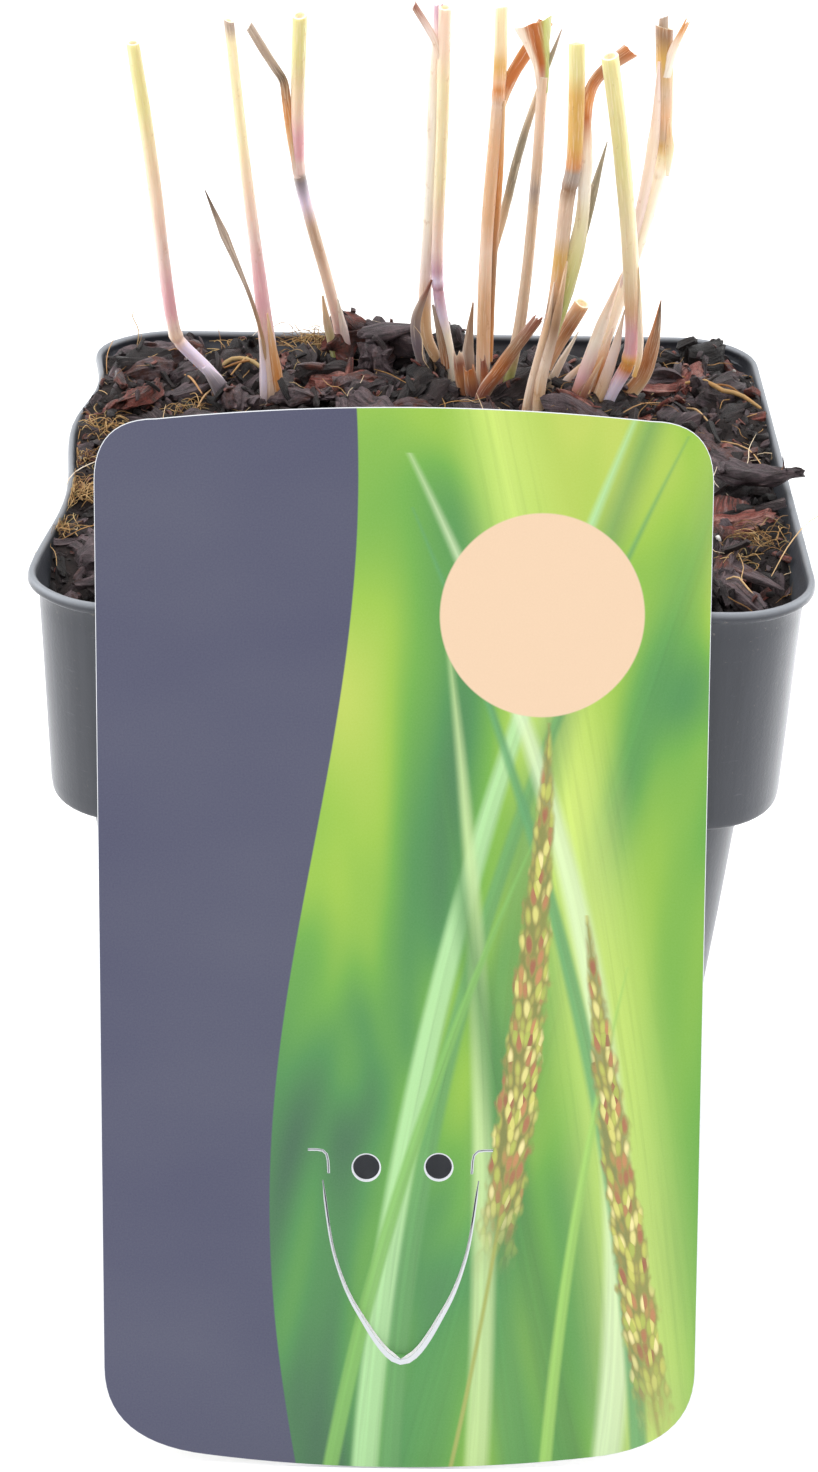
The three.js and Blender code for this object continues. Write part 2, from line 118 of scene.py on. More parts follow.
def mixColour(tree, factor, a, b, blend="MIX"):
    a, b = [(*value, 1.0) if isinstance(value, tuple) else value for value in (a, b)]
    values = {0: factor, 6: a, 7: b}
    return addNode(tree, "ShaderNodeMix", values, data_type="RGBA", blend_type=blend).outputs[2]


# Mixes a colour in where a pattern passes from one value to another, at so much strength.
def tinted(tree, body, colour, pattern, low, high, strength):
    return mixColour(tree, times(tree, rangeOf(tree, pattern, low, high), strength), body, colour)


def ramp(tree, factor, stops):
    node = addNode(tree, "ShaderNodeValToRGB", {"Fac": factor})
    elements = node.color_ramp.elements
    for element, (place, colour) in zip((elements[0], elements[1]), (stops[0], stops[-1])):
        element.position = place
        element.color = (*colour, 1.0)
    for place, colour in stops[1:-1]:
        elements.new(place).color = (*colour, 1.0)
    return node.outputs["Color"]


def stretched(tree, vector, scale):
    return addNode(tree, "ShaderNodeMapping", {"Vector": vector, "Scale": scale}).outputs[0]


# Noise of one scale, or of a scale along each axis.
def noiseOf(tree, vector, scale, detail=3.0, roughness=0.55, distortion=0.0):
    if isinstance(scale, tuple):
        vector, scale = stretched(tree, vector, scale), 1.0
    values = {"Vector": vector, "Scale": scale, "Detail": detail, "Roughness": roughness,
              "Distortion": distortion}
    return addNode(tree, "ShaderNodeTexNoise", values).outputs["Fac"]


# Object coordinates in millimetres.
def placeOf(tree):
    place = addNode(tree, "ShaderNodeTexCoord").outputs["Object"]
    return stretched(tree, place, (1 / mm, 1 / mm, 1 / mm))


def attributeOf(tree, name, output="Fac"):
    return addNode(tree, "ShaderNodeAttribute", attribute_name=name).outputs[output]


def bump(tree, height, distance, strength=1.0):
    values = {"Height": height, "Distance": distance * mm, "Strength": strength}
    return addNode(tree, "ShaderNodeBump", values).outputs["Normal"]


# A material, its node tree and its shader, with constant values set on the shader.
def newMaterial(name, **values):
    material = bpy.data.materials.new(name)
    material.use_nodes = True
    tree = material.node_tree
    shader = tree.nodes["Principled BSDF"]
    for key, value in values.items():
        shader.inputs[key.replace("_", " ")].default_value = value
    return material, tree, shader


def wear(tree, shader, colour=None, roughness=None, normal=None):
    for key, value in (("Base Color", colour), ("Roughness", roughness), ("Normal", normal)):
        if value is not None:
            tree.links.new(value, shader.inputs[key])


def addObject(name, data):
    piece = bpy.data.objects.new(name, data)
    scene.collection.objects.link(piece)
    return piece


# A mesh of points in millimetres. Each row of uvs belongs to one corner of a face, and each of
# the values to one point. Edges sharper than so many degrees stay sharp.
def makePiece(name, points, faces, materials, uvs=None, materialOf=None, smooth=40, values=None):
    mesh = bpy.data.meshes.new(name)
    mesh.from_pydata((np.asarray(points, float) * mm).tolist(), [], faces)
    for material in materials:
        mesh.materials.append(material)
    if materialOf is not None:
        mesh.polygons.foreach_set("material_index", np.asarray(materialOf, np.int32))
    if uvs is not None:
        mesh.uv_layers.new(name="UVMap").data.foreach_set("uv", np.asarray(uvs, np.float32).ravel())
    for key, numbers in (values or {}).items():
        numbers = np.asarray(numbers, np.float32)
        kind, field = ("FLOAT_VECTOR", "vector") if numbers.ndim == 2 else ("FLOAT", "value")
        mesh.attributes.new(key, kind, "POINT").data.foreach_set(field, numbers.ravel())
    mesh.polygons.foreach_set("use_smooth", [smooth > 0] * len(mesh.polygons))
    mesh.update()
    if smooth > 0:
        mesh.set_sharp_from_angle(angle=math.radians(smooth))
    return addObject(name, mesh)


# A finished piece joins the root body, and the solids that it dresses are hidden.
def settle(piece, slot, *nodes):
    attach(piece, "root")
    if nodes:
        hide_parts(*nodes)
    count = sum(len(face.vertices) - 2 for face in piece.data.polygons)
    print(f"{piece.name}: {count} triangles")


# The plain mesh that a piece's live modifiers give.
def finalMesh(piece):
    bpy.context.view_layer.update()
    view = bpy.context.evaluated_depsgraph_get()
    return bpy.data.meshes.new_from_object(piece.evaluated_get(view))


def applyModifiers(piece):
    mesh = finalMesh(piece)
    piece.modifiers.clear()
    piece.data = mesh


# Puts a tree of Geometry Nodes on a piece, with its inputs set by name.
def addTree(piece, tree, values):
    change = piece.modifiers.new(tree.name, "NODES")
    change.node_group = tree
    for socket in tree.interface.items_tree:
        if socket.in_out == "INPUT" and socket.name in values:
            change[socket.identifier] = values[socket.name]


# Loose shapes gathered for one mesh.
def newHeap():
    return {"points": [], "faces": [], "values": {}}


def addTo(heap, points, faces, **values):
    first = len(heap["points"])
    heap["points"].extend(map(tuple, points))
    heap["faces"].extend([first + i for i in face] for face in faces)
    for key, value in values.items():
        rows = value if hasattr(value, "__len__") else [value] * len(points)
        heap["values"].setdefault(key, []).extend(rows)


def pieceOf(name, heap, materials, smooth):
    return makePiece(name, heap["points"], heap["faces"], materials, smooth=smooth, values=heap["values"])


# The faces of a skin over rings of so many points each, closed at both ends. Rings run
# anticlockwise about the way they follow each other. A flat end is closed by strips between its
# two long sides.
def skin(count, size, flat=False):
    faces = []
    for first in range(0, (count - 1) * size, size):
        for i in range(size):
            a, b = first + i, first + (i + 1) % size
            faces.append((a, b, b + size, a + size))
    for ring, way in ((0, -1), (count - 1, 1)):
        loop = range(ring * size, (ring + 1) * size)
        strips = [(i, i + 1, size - 2 - i, size - 1 - i) for i in range(size // 2 - 1)]
        for face in strips if flat else [range(size)]:
            faces.append(tuple(loop[i] for i in face)[::way])
    return faces


def clamped(value, low=0, high=1):
    return min(max(value, low), high)


def anglesOf(count):
    return [2 * math.pi * i / count for i in range(count)]


# A curve from one point to another, with the directions and pulls in which it leaves and arrives.
def bendBetween(t, start, leave, end, arrive):
    return ((2 * t**3 - 3 * t**2 + 1) * start + (t**3 - 2 * t**2 + t) * leave
            + (3 * t**2 - 2 * t**3) * end + (t**3 - t**2) * arrive)


# A smooth path through points, at the given shares of its length, with its length.
def smoothPath(points, shares):
    p = np.array(points, float)
    p = np.vstack([2 * p[0] - p[1], p, 2 * p[-1] - p[-2]])
    t = np.linspace(0, 1, 24, endpoint=False)[:, None]
    runs = []
    for a, b, c, d in zip(p, p[1:], p[2:], p[3:]):
        before, here, after = (np.linalg.norm(v) ** 0.5 + 1e-9 for v in (b - a, c - b, d - c))
        leave = ((b - a) / before - (c - a) / (before + here) + (c - b) / here) * here
        arrive = ((c - b) / here - (d - b) / (here + after) + (d - c) / after) * here
        runs.append(bendBetween(t, b, leave, c, arrive))
    dense = np.vstack([*runs, p[-2:-1]])
    along = np.concatenate([[0], np.cumsum(np.linalg.norm(np.diff(dense, axis=0), axis=1))])
    places = np.asarray(shares) * along[-1]
    return np.stack([np.interp(places, along, dense[:, k]) for k in range(3)], 1), along[-1]


def unit(rows):
    return rows / np.linalg.norm(rows, axis=-1, keepdims=True)


# Directions along, across and through a blade at each point of its path, turned by so many
# degrees about the path from facing the front.
def bladeFrames(path, turns):
    along = unit(np.gradient(path, axis=0))
    across = unit(np.cross(along, (0.0, -1.0, 0.0)))
    through = np.cross(along, across)
    angle = np.radians(turns)[:, None]
    turned = across * np.cos(angle) + through * np.sin(angle)
    return along, turned, np.cross(along, turned)


def between(values, shares):
    return np.interp(shares, np.linspace(0, 1, len(values)), values)


# Soft noise at a point in millimetres, from -1 to 1.
def rough(point, size, seed):
    x, y, z = (value / size for value in point)
    return noise.noise(Vector((x + seed, y - seed, z + 3 * seed)))


# Camera

cameraView = {
    "azimuth": 0.316,
    "elevation": 27.756,
    "roll": 0.651,
    "place": (0.253, -339.307, 233.985),
    "lens": 71.32,
    "sensor": 36.0,
    "clip": (0.01, 20),  # in metres
}


def makeCamera(view):
    azimuth, elevation, roll = (math.radians(view[key]) for key in ("azimuth", "elevation", "roll"))
    level = math.cos(elevation)
    back = Vector((math.sin(azimuth) * level, -math.cos(azimuth) * level, math.sin(elevation)))
    across = Vector((0, 0, 1)).cross(back).normalized()
    right = across * math.cos(roll) + back.cross(across) * math.sin(roll)
    turn = Matrix((right, back.cross(right), back)).transposed().to_4x4()
    camera = addObject("camera", bpy.data.cameras.new("camera"))
    camera.data.lens = view["lens"]
    camera.data.sensor_width = view["sensor"]
    camera.data.clip_start, camera.data.clip_end = view["clip"]
    camera.matrix_world = Matrix.Translation(Vector(view["place"]) * mm) @ turn
    scene.camera = camera


makeCamera(cameraView)
print("camera made")


# Pot

pot = {
    "height": 95,
    "rimHalf": 45,  # half the width over the lip
    "bandHalf": 44,
    "shoulder": 66,
    "bodyHalf": 39.3,
    "baseHalf": 32.8,
    "wall": 1,
    "floor": 1.8,
    "rimCorner": 10.5,
    "bodyCorner": 9.5,
    "baseCorner": 8,
    "skew": -0.7,  # of the body against the rim and the foot
    "waveCrest": 9,  # where the left wall stands out most
    "waveLengths": (45, 31),  # in front of that place and behind it
    "waveMean": 0.5,
    "waveDepth": 0.9,
    "waveFade": 6,  # from the corners on
    "drainRadius": 3.5,
    "drainPlace": 21,
    "channelWidth": 5,
    "channelDepth": 0.8,
    "sideSteps": 22,
    "cornerSteps": 12,
    "plastic": paint(25, 26, 32),
    # Pale colour of the scuffs, and of the painted sheen along the runs.
    "scuffAndSheen": paint(108, 110, 118),
    # Pale colour painted along the top of the lip as its highlight.
    "lip": paint(140, 144, 150),
    "dust": paint(150, 140, 128),
}


# How far the thin wall is out of true to the right: the body leans, and the left wall waves.
def wallShift(x, y, z):
    height = clamped((z - pot["shoulder"]) / (pot["height"] - pot["shoulder"]))
    skew = pot["skew"] * (1 - height if z > pot["shoulder"] else max(z, 0) / pot["shoulder"])
    if x > 0:
        return skew
    inward = clamped((pot["rimHalf"] - abs(y)) / pot["waveFade"])
    straight = inward * inward * (3 - 2 * inward)
    fromCrest = y - pot["waveCrest"]
    phase = 2 * math.pi * fromCrest / pot["waveLengths"][fromCrest > 0]
    wave = pot["waveMean"] - pot["waveDepth"] * math.cos(phase)
    return skew + wave * straight * height * (x / pot["rimHalf"]) ** 4


# A rounded square of the pot's wall at a height, starting on the right.
def squareLoop(half, corner, z):
    straight = half - corner
    quarter = [(half, straight * (2 * i / pot["sideSteps"] - 1)) for i in range(pot["sideSteps"])]
    for i in range(pot["cornerSteps"]):
        angle = i / pot["cornerSteps"] * math.pi / 2
        quarter.append((straight + corner * math.cos(angle), straight + corner * math.sin(angle)))
    points = []
    for cosine, sine in ((1, 0), (0, 1), (-1, 0), (0, -1)):
        for x, y in quarter:
            px, py = x * cosine - y * sine, x * sine + y * cosine
            points.append((px + wallShift(px, py, z), py, z))
    return points


# The wall's profile as half width, corner radius and height: up the outside over the rolled
# lip, then down the inside to the floor.
def potProfile():
    rim, band, top, step = pot["rimHalf"], pot["bandHalf"], pot["height"], pot["shoulder"]
    body, base, wall, floor = pot["bodyHalf"], pot["baseHalf"], pot["wall"], pot["floor"]
    round1, round2, round3 = pot["rimCorner"], pot["bodyCorner"], pot["baseCorner"]
    outside = [
        (base - 1.7, round3 - 1.7, 0), (base - 0.9, round3 - 0.9, 0.15),
        (base - 0.25, round3 - 0.3, 0.8), (base, round3, 1.8), (base + 0.1, round3, 3),
        (body - 0.1, round2, step - 3), (body, round2, step - 1.8),
        (body + 0.5, round2, step - 0.7), (body + 1.5, round2 + 0.6, step - 0.1),
        (band - 1.5, round1 - 0.9, step + 0.05), (band - 0.85, round1 - 0.4, step + 0.35),
        (band - 0.6, round1, step + 1.2), (band - 0.55, round1, step + 3), (band - 0.1, round1, top - 5),
        (band, round1, top - 2.1), (band + 0.14, round1, top - 1.65), (rim - 0.3, round1, top - 1.35),
        (rim - 0.04, round1, top - 1.05), (rim, round1, top - 0.55), (rim - 0.12, round1, top - 0.18),
        (rim - 0.38, round1 - 0.3, top),
    ]
    inside = [
        (rim - 0.7, round1 - 0.5, top - 0.1), (rim - 0.88, round1 - 0.7, top - 0.45),
        (rim - 0.95, round1 - 0.9, top - 1.2), (band - 0.75, round1 - wall, top - 3.2),
        (band - wall, round1 - wall, top - 9), (band - wall - 0.5, round1 - wall, step + 2.6),
        (band - wall - 1.4, round1 - wall - 0.4, step + 1.4),
        (body - wall + 1.4, round2, step + 1), (body - wall, round2 - wall, step - 0.6),
        (body - wall - 0.1, round2 - wall, step - 2), (base - wall, round3 - wall, floor + 1.2),
        (base - wall - 0.4, round3 - wall - 0.4, floor + 0.35),
        (base - wall - 1.2, round3 - wall - 1.2, floor),
    ]
    return outside + inside


# Rounds the bends of a profile: each stretch leaves and reaches its ends along the mean
# direction there, with a pull of its own length.
def roundedProfile(points, steps):
    p = np.array(points, float)
    way = unit(np.diff(p, axis=0))
    pull = unit(np.vstack([way[:1], way[:-1] + way[1:], way[-1:]]))
    rows = []
    for a, b, leave, arrive in zip(p, p[1:], pull, pull[1:]):
        size = np.linalg.norm(b - a)
        for t in np.linspace(0, 1, steps, endpoint=False):
            rows.append(bendBetween(t, a, leave * size, b, arrive * size))
    return np.vstack([rows, p[-1:]])


def potMaterial():
    material, tree, shader = newMaterial(
        "mouldedPlastic", IOR=1.5, Specular_IOR_Level=0.6, Specular_Tint=(0.89, 0.93, 1, 1),
        Sheen_Weight=0.2, Sheen_Roughness=0.35, Sheen_Tint=(0.84, 0.9, 1, 1))
    place = placeOf(tree)
    grain = noiseOf(tree, place, 2.6, 4, 0.6)
    cloud = noiseOf(tree, place, 0.045, 3, 0.55)
    runs = noiseOf(tree, place, (0.7, 0.7, 0.05), 3, 0.6)
    scuff = noiseOf(tree, place, (0.2, 0.2, 1.44), 5, 0.7)
    height = separated(tree, place)[2]
    nearRim = rangeOf(tree, height, pot["height"] - 7, pot["height"])
    specks = rangeOf(tree, noiseOf(tree, place, 1.1, 6, 0.75), 0.6, 0.72)
    dirt = times(tree, specks, timesPlus(tree, nearRim, 0.5, 0.14))
    darker, paler = (tuple(share * value for value in pot["plastic"]) for share in (0.8, 1.3))
    body = mixColour(tree, cloud, darker, paler)
    body = tinted(tree, body, pot["scuffAndSheen"], scuff, 0.62, 0.74, 0.22)
    # Paler along the vertical runs of the moulding: painted sheen.
    body = mixColour(tree, times(tree, runs, 0.16), body, pot["scuffAndSheen"])
    # Paler along the top edge of the lip: painted highlight where it faces the top light.
    body = tinted(tree, body, pot["lip"], height, pot["height"] - 0.75, pot["height"] - 0.1, 0.8)
    dull = timesPlus(tree, dirt, 0.4, timesPlus(tree, cloud, 0.14, 0.26))
    relief = timesPlus(tree, runs, 0.5, grain)
    wear(tree, shader, mixColour(tree, dirt, body, pot["dust"]), dull, bump(tree, relief, 0.05, 0.5))
    return material


def boxSolid(low, high):
    corners = [(low[0], low[1]), (high[0], low[1]), (high[0], high[1]), (low[0], high[1])]
    return [(x, y, z) for z in (low[2], high[2]) for x, y in corners], 4


def rodSolid(x, y, low, high, radius, sides=32):
    circle = [(x + radius * math.cos(angle), y + radius * math.sin(angle)) for angle in anglesOf(sides)]
    return [(*spot, z) for z in (low, high) for spot in circle], sides


# Cuts upright solids out of a piece, all at once.
def cutOut(piece, solids):
    heap = newHeap()
    for points, size in solids:
        addTo(heap, points, skin(2, size))
    cutter = pieceOf("cutter", heap, [], smooth=0)
    change = piece.modifiers.new("cut", "BOOLEAN")
    change.operation, change.object, change.solver = "DIFFERENCE", cutter, "EXACT"
    applyModifiers(piece)
    bpy.data.objects.remove(cutter)


def makePot():
    rows = roundedProfile(potProfile(), 4)
    rings = [squareLoop(*row) for row in rows]
    faces = skin(len(rings), len(rings[0]))
    shell = makePiece("potShell", np.vstack(rings), faces, [potMaterial()])
    half, deep, reach = pot["channelWidth"] / 2, pot["channelDepth"], 1.5 * pot["baseHalf"]
    places = (-pot["drainPlace"], pot["drainPlace"])
    cutOut(shell, [boxSolid((x - half, -reach, -deep), (x + half, reach, deep)) for x in places])
    cutOut(shell, [boxSolid((-reach, y - half, -deep), (reach, y + half, deep)) for y in places])
    spots = [(x, y) for x in (*places, 0) for y in (*places, 0) if (x, y) != (0, 0)]
    cutOut(shell, [rodSolid(x, y, -2, 2 * pot["floor"], pot["drainRadius"]) for x, y in spots])
    shell.data.polygons.foreach_set("use_smooth", [True] * len(shell.data.polygons))
    shell.data.set_sharp_from_angle(angle=math.radians(38))
    settle(shell, "pot_plastic", "pot")


makePot()
print("pot made")


# Soil and mulch

soil = {
    "edge": 90.5,
    "moundRise": 6.5,
    "moundMiddle": (5, 17),
    "moundSpread": (32, 17),
    "bankRise": (2, 3.6),  # of the soil along the right and left walls
    "bankStart": 30,  # from the middle out
    "bankEnds": (-38, 44),  # in front and behind
    "bankFade": (10, 12),  # across and along
    "ripple": (0.4, 4.3, 5.1),  # its height and its lengths
    "facing": 0.3,  # least turn upwards of a surface that loose bits lie on
    "cells": 128,  # of the soil's top, each way
    "crumb": 1.0,  # height of the largest crumbs
    "chipRows": 9,
    "chipSizes": ((8, 13), (4.5, 7.5), (2, 3.6)),  # least and most, each way
    "chipCells": ((18, 10, 4), (16, 6, 4)),  # of a whole chip and of a split one
    "wholeShare": 0.35,  # of the small chips
    "rimChipTaper": (22, 0.45),  # of the chip over the rim: its length and least width
    "sliverCells": (20, 6, 3),
    "sliverPoint": 0.1,  # least width of a sliver's tip
    "chipSeed": 7,
    "shardSeed": 12,
    "tuftSeed": 17,
    # Near-black: the humus's own dark colour, darkened further as painted shade for the gaps and the
    # bark's grooves.
    "dark": paint(26, 21, 21),
    # Damp humus, darkened further as painted shade for the gaps.
    "dampAndShaded": paint(46, 37, 36),
    "dry": paint(92, 74, 64),
    # Pale colour painted on the bark's ridges as highlight.
    "ridgeHighlight": paint(162, 142, 142),
}
soilHalf = pot["bandHalf"] - pot["wall"] - 0.15
soilCorner = pot["rimCorner"] - pot["wall"] - 0.3

# Bark from damp dark humus through purple-grey to red and pale.
barkTones = [
    (0.0, paint(18, 15, 16)), (0.2, paint(30, 24, 25)), (0.38, paint(50, 39, 40)),
    (0.52, paint(74, 61, 66)), (0.64, paint(100, 84, 88)), (0.74, paint(82, 48, 40)),
    (0.86, paint(126, 60, 50)), (1.0, paint(168, 122, 112)),
]
strawTones = [(0.0, paint(128, 86, 44)), (0.4, paint(186, 140, 82)), (0.7, paint(214, 178, 128)),
              (1.0, paint(226, 208, 180))]


def soilHeight(x, y):
    across, along = ((place - middle) / spread for place, middle, spread in
                     zip((x, y), soil["moundMiddle"], soil["moundSpread"]))
    rise = soil["moundRise"] * math.exp(-(across**2 + along**2) / 2)
    (fadeX, fadeY), (front, behind) = soil["bankFade"], soil["bankEnds"]
    bank = clamped((abs(x) - soil["bankStart"]) / fadeX)
    bank *= clamped((y - front) / fadeY) * clamped((behind - y) / fadeY)
    height, lengthX, lengthY = soil["ripple"]
    ripple = height * math.sin(x / lengthX + 1) * math.cos(y / lengthY)
    return soil["edge"] + rise + soil["bankRise"][x < 0] * bank + ripple


# How far the edge of a rounded square stands out towards a place, as a share of the plain
# square's edge there.
def edgeShare(x, y, half, corner):
    largest = max(abs(x), abs(y), 1e-9)
    qx, qy, inner = abs(x) / largest * half, abs(y) / largest * half, half - corner
    if min(qx, qy) <= inner:
        return 1.0
    dot, size = (qx + qy) * inner, qx * qx + qy * qy
    return (dot + math.sqrt(max(dot * dot - size * (2 * inner * inner - corner * corner), 0))) / size


# The inside of the pot widens towards its lip.
def insideHalf(z):
    return soilHalf + 0.3 * clamped(z - pot["height"] + 3.2, 0, 3)


# Draws points back inside the pot's wall, so that nothing stands through it.
def keepInside(points):
    points = np.array(points, float)
    for point in points:
        shift = wallShift(point[0], point[1], min(point[2], pot["height"]))
        x, y = point[0] - shift, point[1]
        half = insideHalf(point[2])
        reach = max(abs(x), abs(y)) / half / edgeShare(x, y, half, soilCorner)
        if reach > 1:
            point[0] = x / reach + shift
            point[1] = y / reach
    return points


# The soil's crumbly top: a grid drawn into the pot's rounded square.
def soilGrid():
    side = soil["cells"] + 1
    points = []
    for row in range(side):
        for column in range(side):
            a, b = (2 * place / soil["cells"] - 1 for place in (column, row))
            share = edgeShare(a, b, soilHalf, soilCorner)
            edge = insideHalf(soilHeight(a * soilHalf, b * soilHalf)) - soilHalf
            share *= soilHalf + edge * max(abs(a), abs(b)) ** 12
            x, y = a * share, b * share
            x += wallShift(x, y, soil["edge"])
            spot = (x, y, 0)
            crumbs = rough(spot, 3.4, 5.1) + 0.6 * rough(spot, 1.5, 9.3) + 0.35 * rough(spot, 0.7, 2.7)
            points.append((x, y, soilHeight(x, y) - 0.5 + soil["crumb"] * crumbs))
    faces = [(r * side + c, r * side + c + 1, (r + 1) * side + c + 1, (r + 1) * side + c)
             for r in range(side - 1) for c in range(side - 1)]
    return points, faces


def soilMaterial():
    material, tree, shader = newMaterial("pottingSoil", Roughness=0.9, IOR=1.4)
    place = placeOf(tree)
    crumbs = noiseOf(tree, place, 0.55, 7, 0.72)
    fine = noiseOf(tree, place, 2.4, 5, 0.7)
    # Near-black between the two darkest soil tones: the humus's own dark colour, with the shade of the
    # gaps between the chips painted in.
    body = mixColour(tree, rangeOf(tree, crumbs, 0.36, 0.66), soil["dark"], soil["dampAndShaded"])
    body = tinted(tree, body, soil["dry"], fine, 0.6, 0.74, 0.5)
    wear(tree, shader, body, normal=bump(tree, calc(tree, "ADD", crumbs, fine), 0.5, 0.8))
    return material


def makeSoilBed(points, faces):
    count = soil["cells"]
    side = count + 1
    rim = [*range(count), *(row * side + count for row in range(count))]
    rim += [*(count * side + column for column in range(count, 0, -1)), *range(count * side, 0, -side)]
    points, faces = list(points), list(faces)
    above = rim
    # Down the pot's inside: height, half width and corner radius.
    levels = [
        (soil["edge"] - 3, soilHalf, soilCorner), (pot["shoulder"] + 2.6, soilHalf - 0.4, soilCorner),
        (pot["shoulder"] - 1.2, pot["bodyHalf"] - 1.4, 8),
        (pot["floor"] + 1.6, pot["baseHalf"] - 1.4, 6.5), (pot["floor"] + 0.4, pot["baseHalf"] - 2.6, 5.5),
    ]
    for z, half, corner in levels:
        below = []
        for index in rim:
            a, b = (2 * place / count - 1 for place in (index % side, index // side))
            share = half * edgeShare(a, b, half, corner)
            below.append(len(points))
            points.append((a * share + wallShift(a * share, b * share, z), b * share, z))
        for i in range(len(rim)):
            j = (i + 1) % len(rim)
            faces.append((above[i], below[i], below[j], above[j]))
        above = below
    faces.append(above[::-1])
    settle(makePiece("soilBed", points, faces, [soilMaterial()], smooth=60), "bark_mulch", "soil")


# A box's surface cut into cells: its places from -1 to 1, and its quads.
def boxTemplate(cells):
    places, quads, index = [], [], {}
    for axis in range(3):
        a, b = (axis + 1) % 3, (axis + 2) % 3
        for side in (-1, 1):
            for i in range(cells[a]):
                for j in range(cells[b]):
                    quad = []
                    for di, dj in ((0, 0), (1, 0), (1, 1), (0, 1)):
                        place = [0, 0, 0]
                        place[axis] = side
                        place[a] = 2 * (i + di) / cells[a] - 1
                        place[b] = 2 * (j + dj) / cells[b] - 1
                        key = tuple(round(value, 5) for value in place)
                        if key not in index:
                            index[key] = len(places)
                            places.append(place)
                        quad.append(index[key])
                    quads.append(quad[::side])
    return np.array(places, float), quads


shard = {
    "square": 0.62,  # share of a box in the shape
    "round": 0.42,  # share of a ball
    "relief": 0.2,  # of the splits and lumps, against the thickness
    "split": 1.2,
    "fine": 0.45,
    "lump": 1.8,
    "bend": 0.5,  # against the thickness
    "splinter": 0.18,  # at the ends, against the length
}


# A shard of bark between eight corners, listed by x, y and z side: rounded a little, split
# along its grain and splintered at its ends. Also gives each point's place in the grain.
def barkShard(template, corners, seed, relief=1.0):
    places, quads = template
    places = shard["square"] * places + shard["round"] * unit(places)
    high = (1 + places) / 2
    sides = (1 - high, high)
    shape = np.zeros_like(places)
    for x, y, z in product((0, 1), repeat=3):
        weight = sides[x][:, 0] * sides[y][:, 1] * sides[z][:, 2]
        shape += weight[:, None] * corners[x, y, z]
    size = np.ptp(corners.reshape(-1, 3), axis=0)
    grain = places * size / 2
    thin = min(size[1], size[2]) * shard["relief"] * relief
    bend = shard["bend"] * size[2] * rough((1, 2, 3), 1, seed + 6)
    splinter = shard["splinter"] * size[0] * min(relief, 1)
    for i, (place, spot) in enumerate(zip(places, grain)):
        split = rough((spot[0] * 0.16, spot[1], spot[2] * 1.3), 1.1, seed)
        fine = rough((spot[0] * 0.25, spot[1], spot[2] * 1.3), 0.55, seed + 4)
        lump = rough(spot, 2.8, seed + 8)
        end = math.copysign(1, place[0])
        taper = 1 - abs(place[0]) ** 2.2 * (0.3 + 0.4 * rough((end, 0, 7), 1, seed))
        shape[i][1:] *= taper, 1 - 0.5 * (1 - taper)
        shape[i] += place * (0.25, 1, 1) * thin * (
            shard["split"] * split + shard["fine"] * fine + shard["lump"] * lump)
        ends = rough((0, spot[1] * 1.4, spot[2] * 1.4), 0.9, seed + 2)
        shape[i][0] += abs(place[0]) ** 5 * splinter * ends * end
        shape[i][2] += bend * (1 - 2 * place[0] ** 2)
    return shape, quads, grain


# A box's corners, each drawn in or out by a draw of its own.
def boxCorners(size, draw=lambda low, high: 1.0):
    corners = np.zeros((2, 2, 2, 3))
    # The plain part draws its corners in this order.
    order = [(1, 1, 1), (1, 1, 0), (1, 0, 1), (1, 0, 0), (0, 1, 0), (0, 1, 1), (0, 0, 0), (0, 0, 1)]
    for corner in order:
        share = (draw(0.65, 1.1), draw(0.6, 1.1), draw(0.7, 1.1))
        corners[corner] = (np.array(corner) - 0.5) * size * share
    return corners


# The same draws as the chips of the plain part, so that each chip lies where its solid does.
def chipDraw(seed):
    state = seed
    factor, most = 16807, 2147483647

    def draw(low, high):
        nonlocal state
        state = state * factor % most
        return low + (high - low) * state / most
    return draw


# Place, size, turn, slope, tone and depth of the splits of each large chip.
largeChips = [
    ((-10, 37, 97), (8, 6, 4.5), 20, -8, 0.76, 1),
    ((-4.5, 35, 97.6), (10, 5, 3.5), -25, 6, 0.5, 1),
    ((2, 37, 96), (8, 5, 4), 60, -8, 0.3, 1),
    ((-6.5, 31, 96.5), (8, 5, 4), 80, 10, 0.6, 1),
    ((37.3, 36.5, 95.1), (7.6, 5.6, 4.4), 36, -4, 0.04, 0.6),
    ((32, 38, 94), (8, 5, 3), -20, 6, 0.2, 1),
    ((-38.5, 25, 93.4), (11, 4.5, 2.6), 62, -6, 0.9, 0.7),
    ((-30, 29, 94), (9, 6, 3), 10, 8, 0.5, 1),
    ((37, -15, 92.6), (9, 8, 3), 75, -14, 0.8, 0.3),
    ((36.5, -33, 91.6), (10, 3.5, 2.4), -55, 4, 0.62, 1),
    ((-37.5, -27, 91.8), (9, 7, 3.4), 30, 8, 0.56, 1),
    ((36, 22, 93.6), (12, 3.5, 2.4), -38, 0, 0.5, 1),
    ((41.2, -9.4, 97.2), (11, 4.8, 2.1), -24, -9, 0.5, 1),  # over the right rim
]
chipTones = [0.05, 0.2, 0.3, 0.36, 0.42, 0.5, 0.56, 0.62, 0.7, 0.8, 0.9]


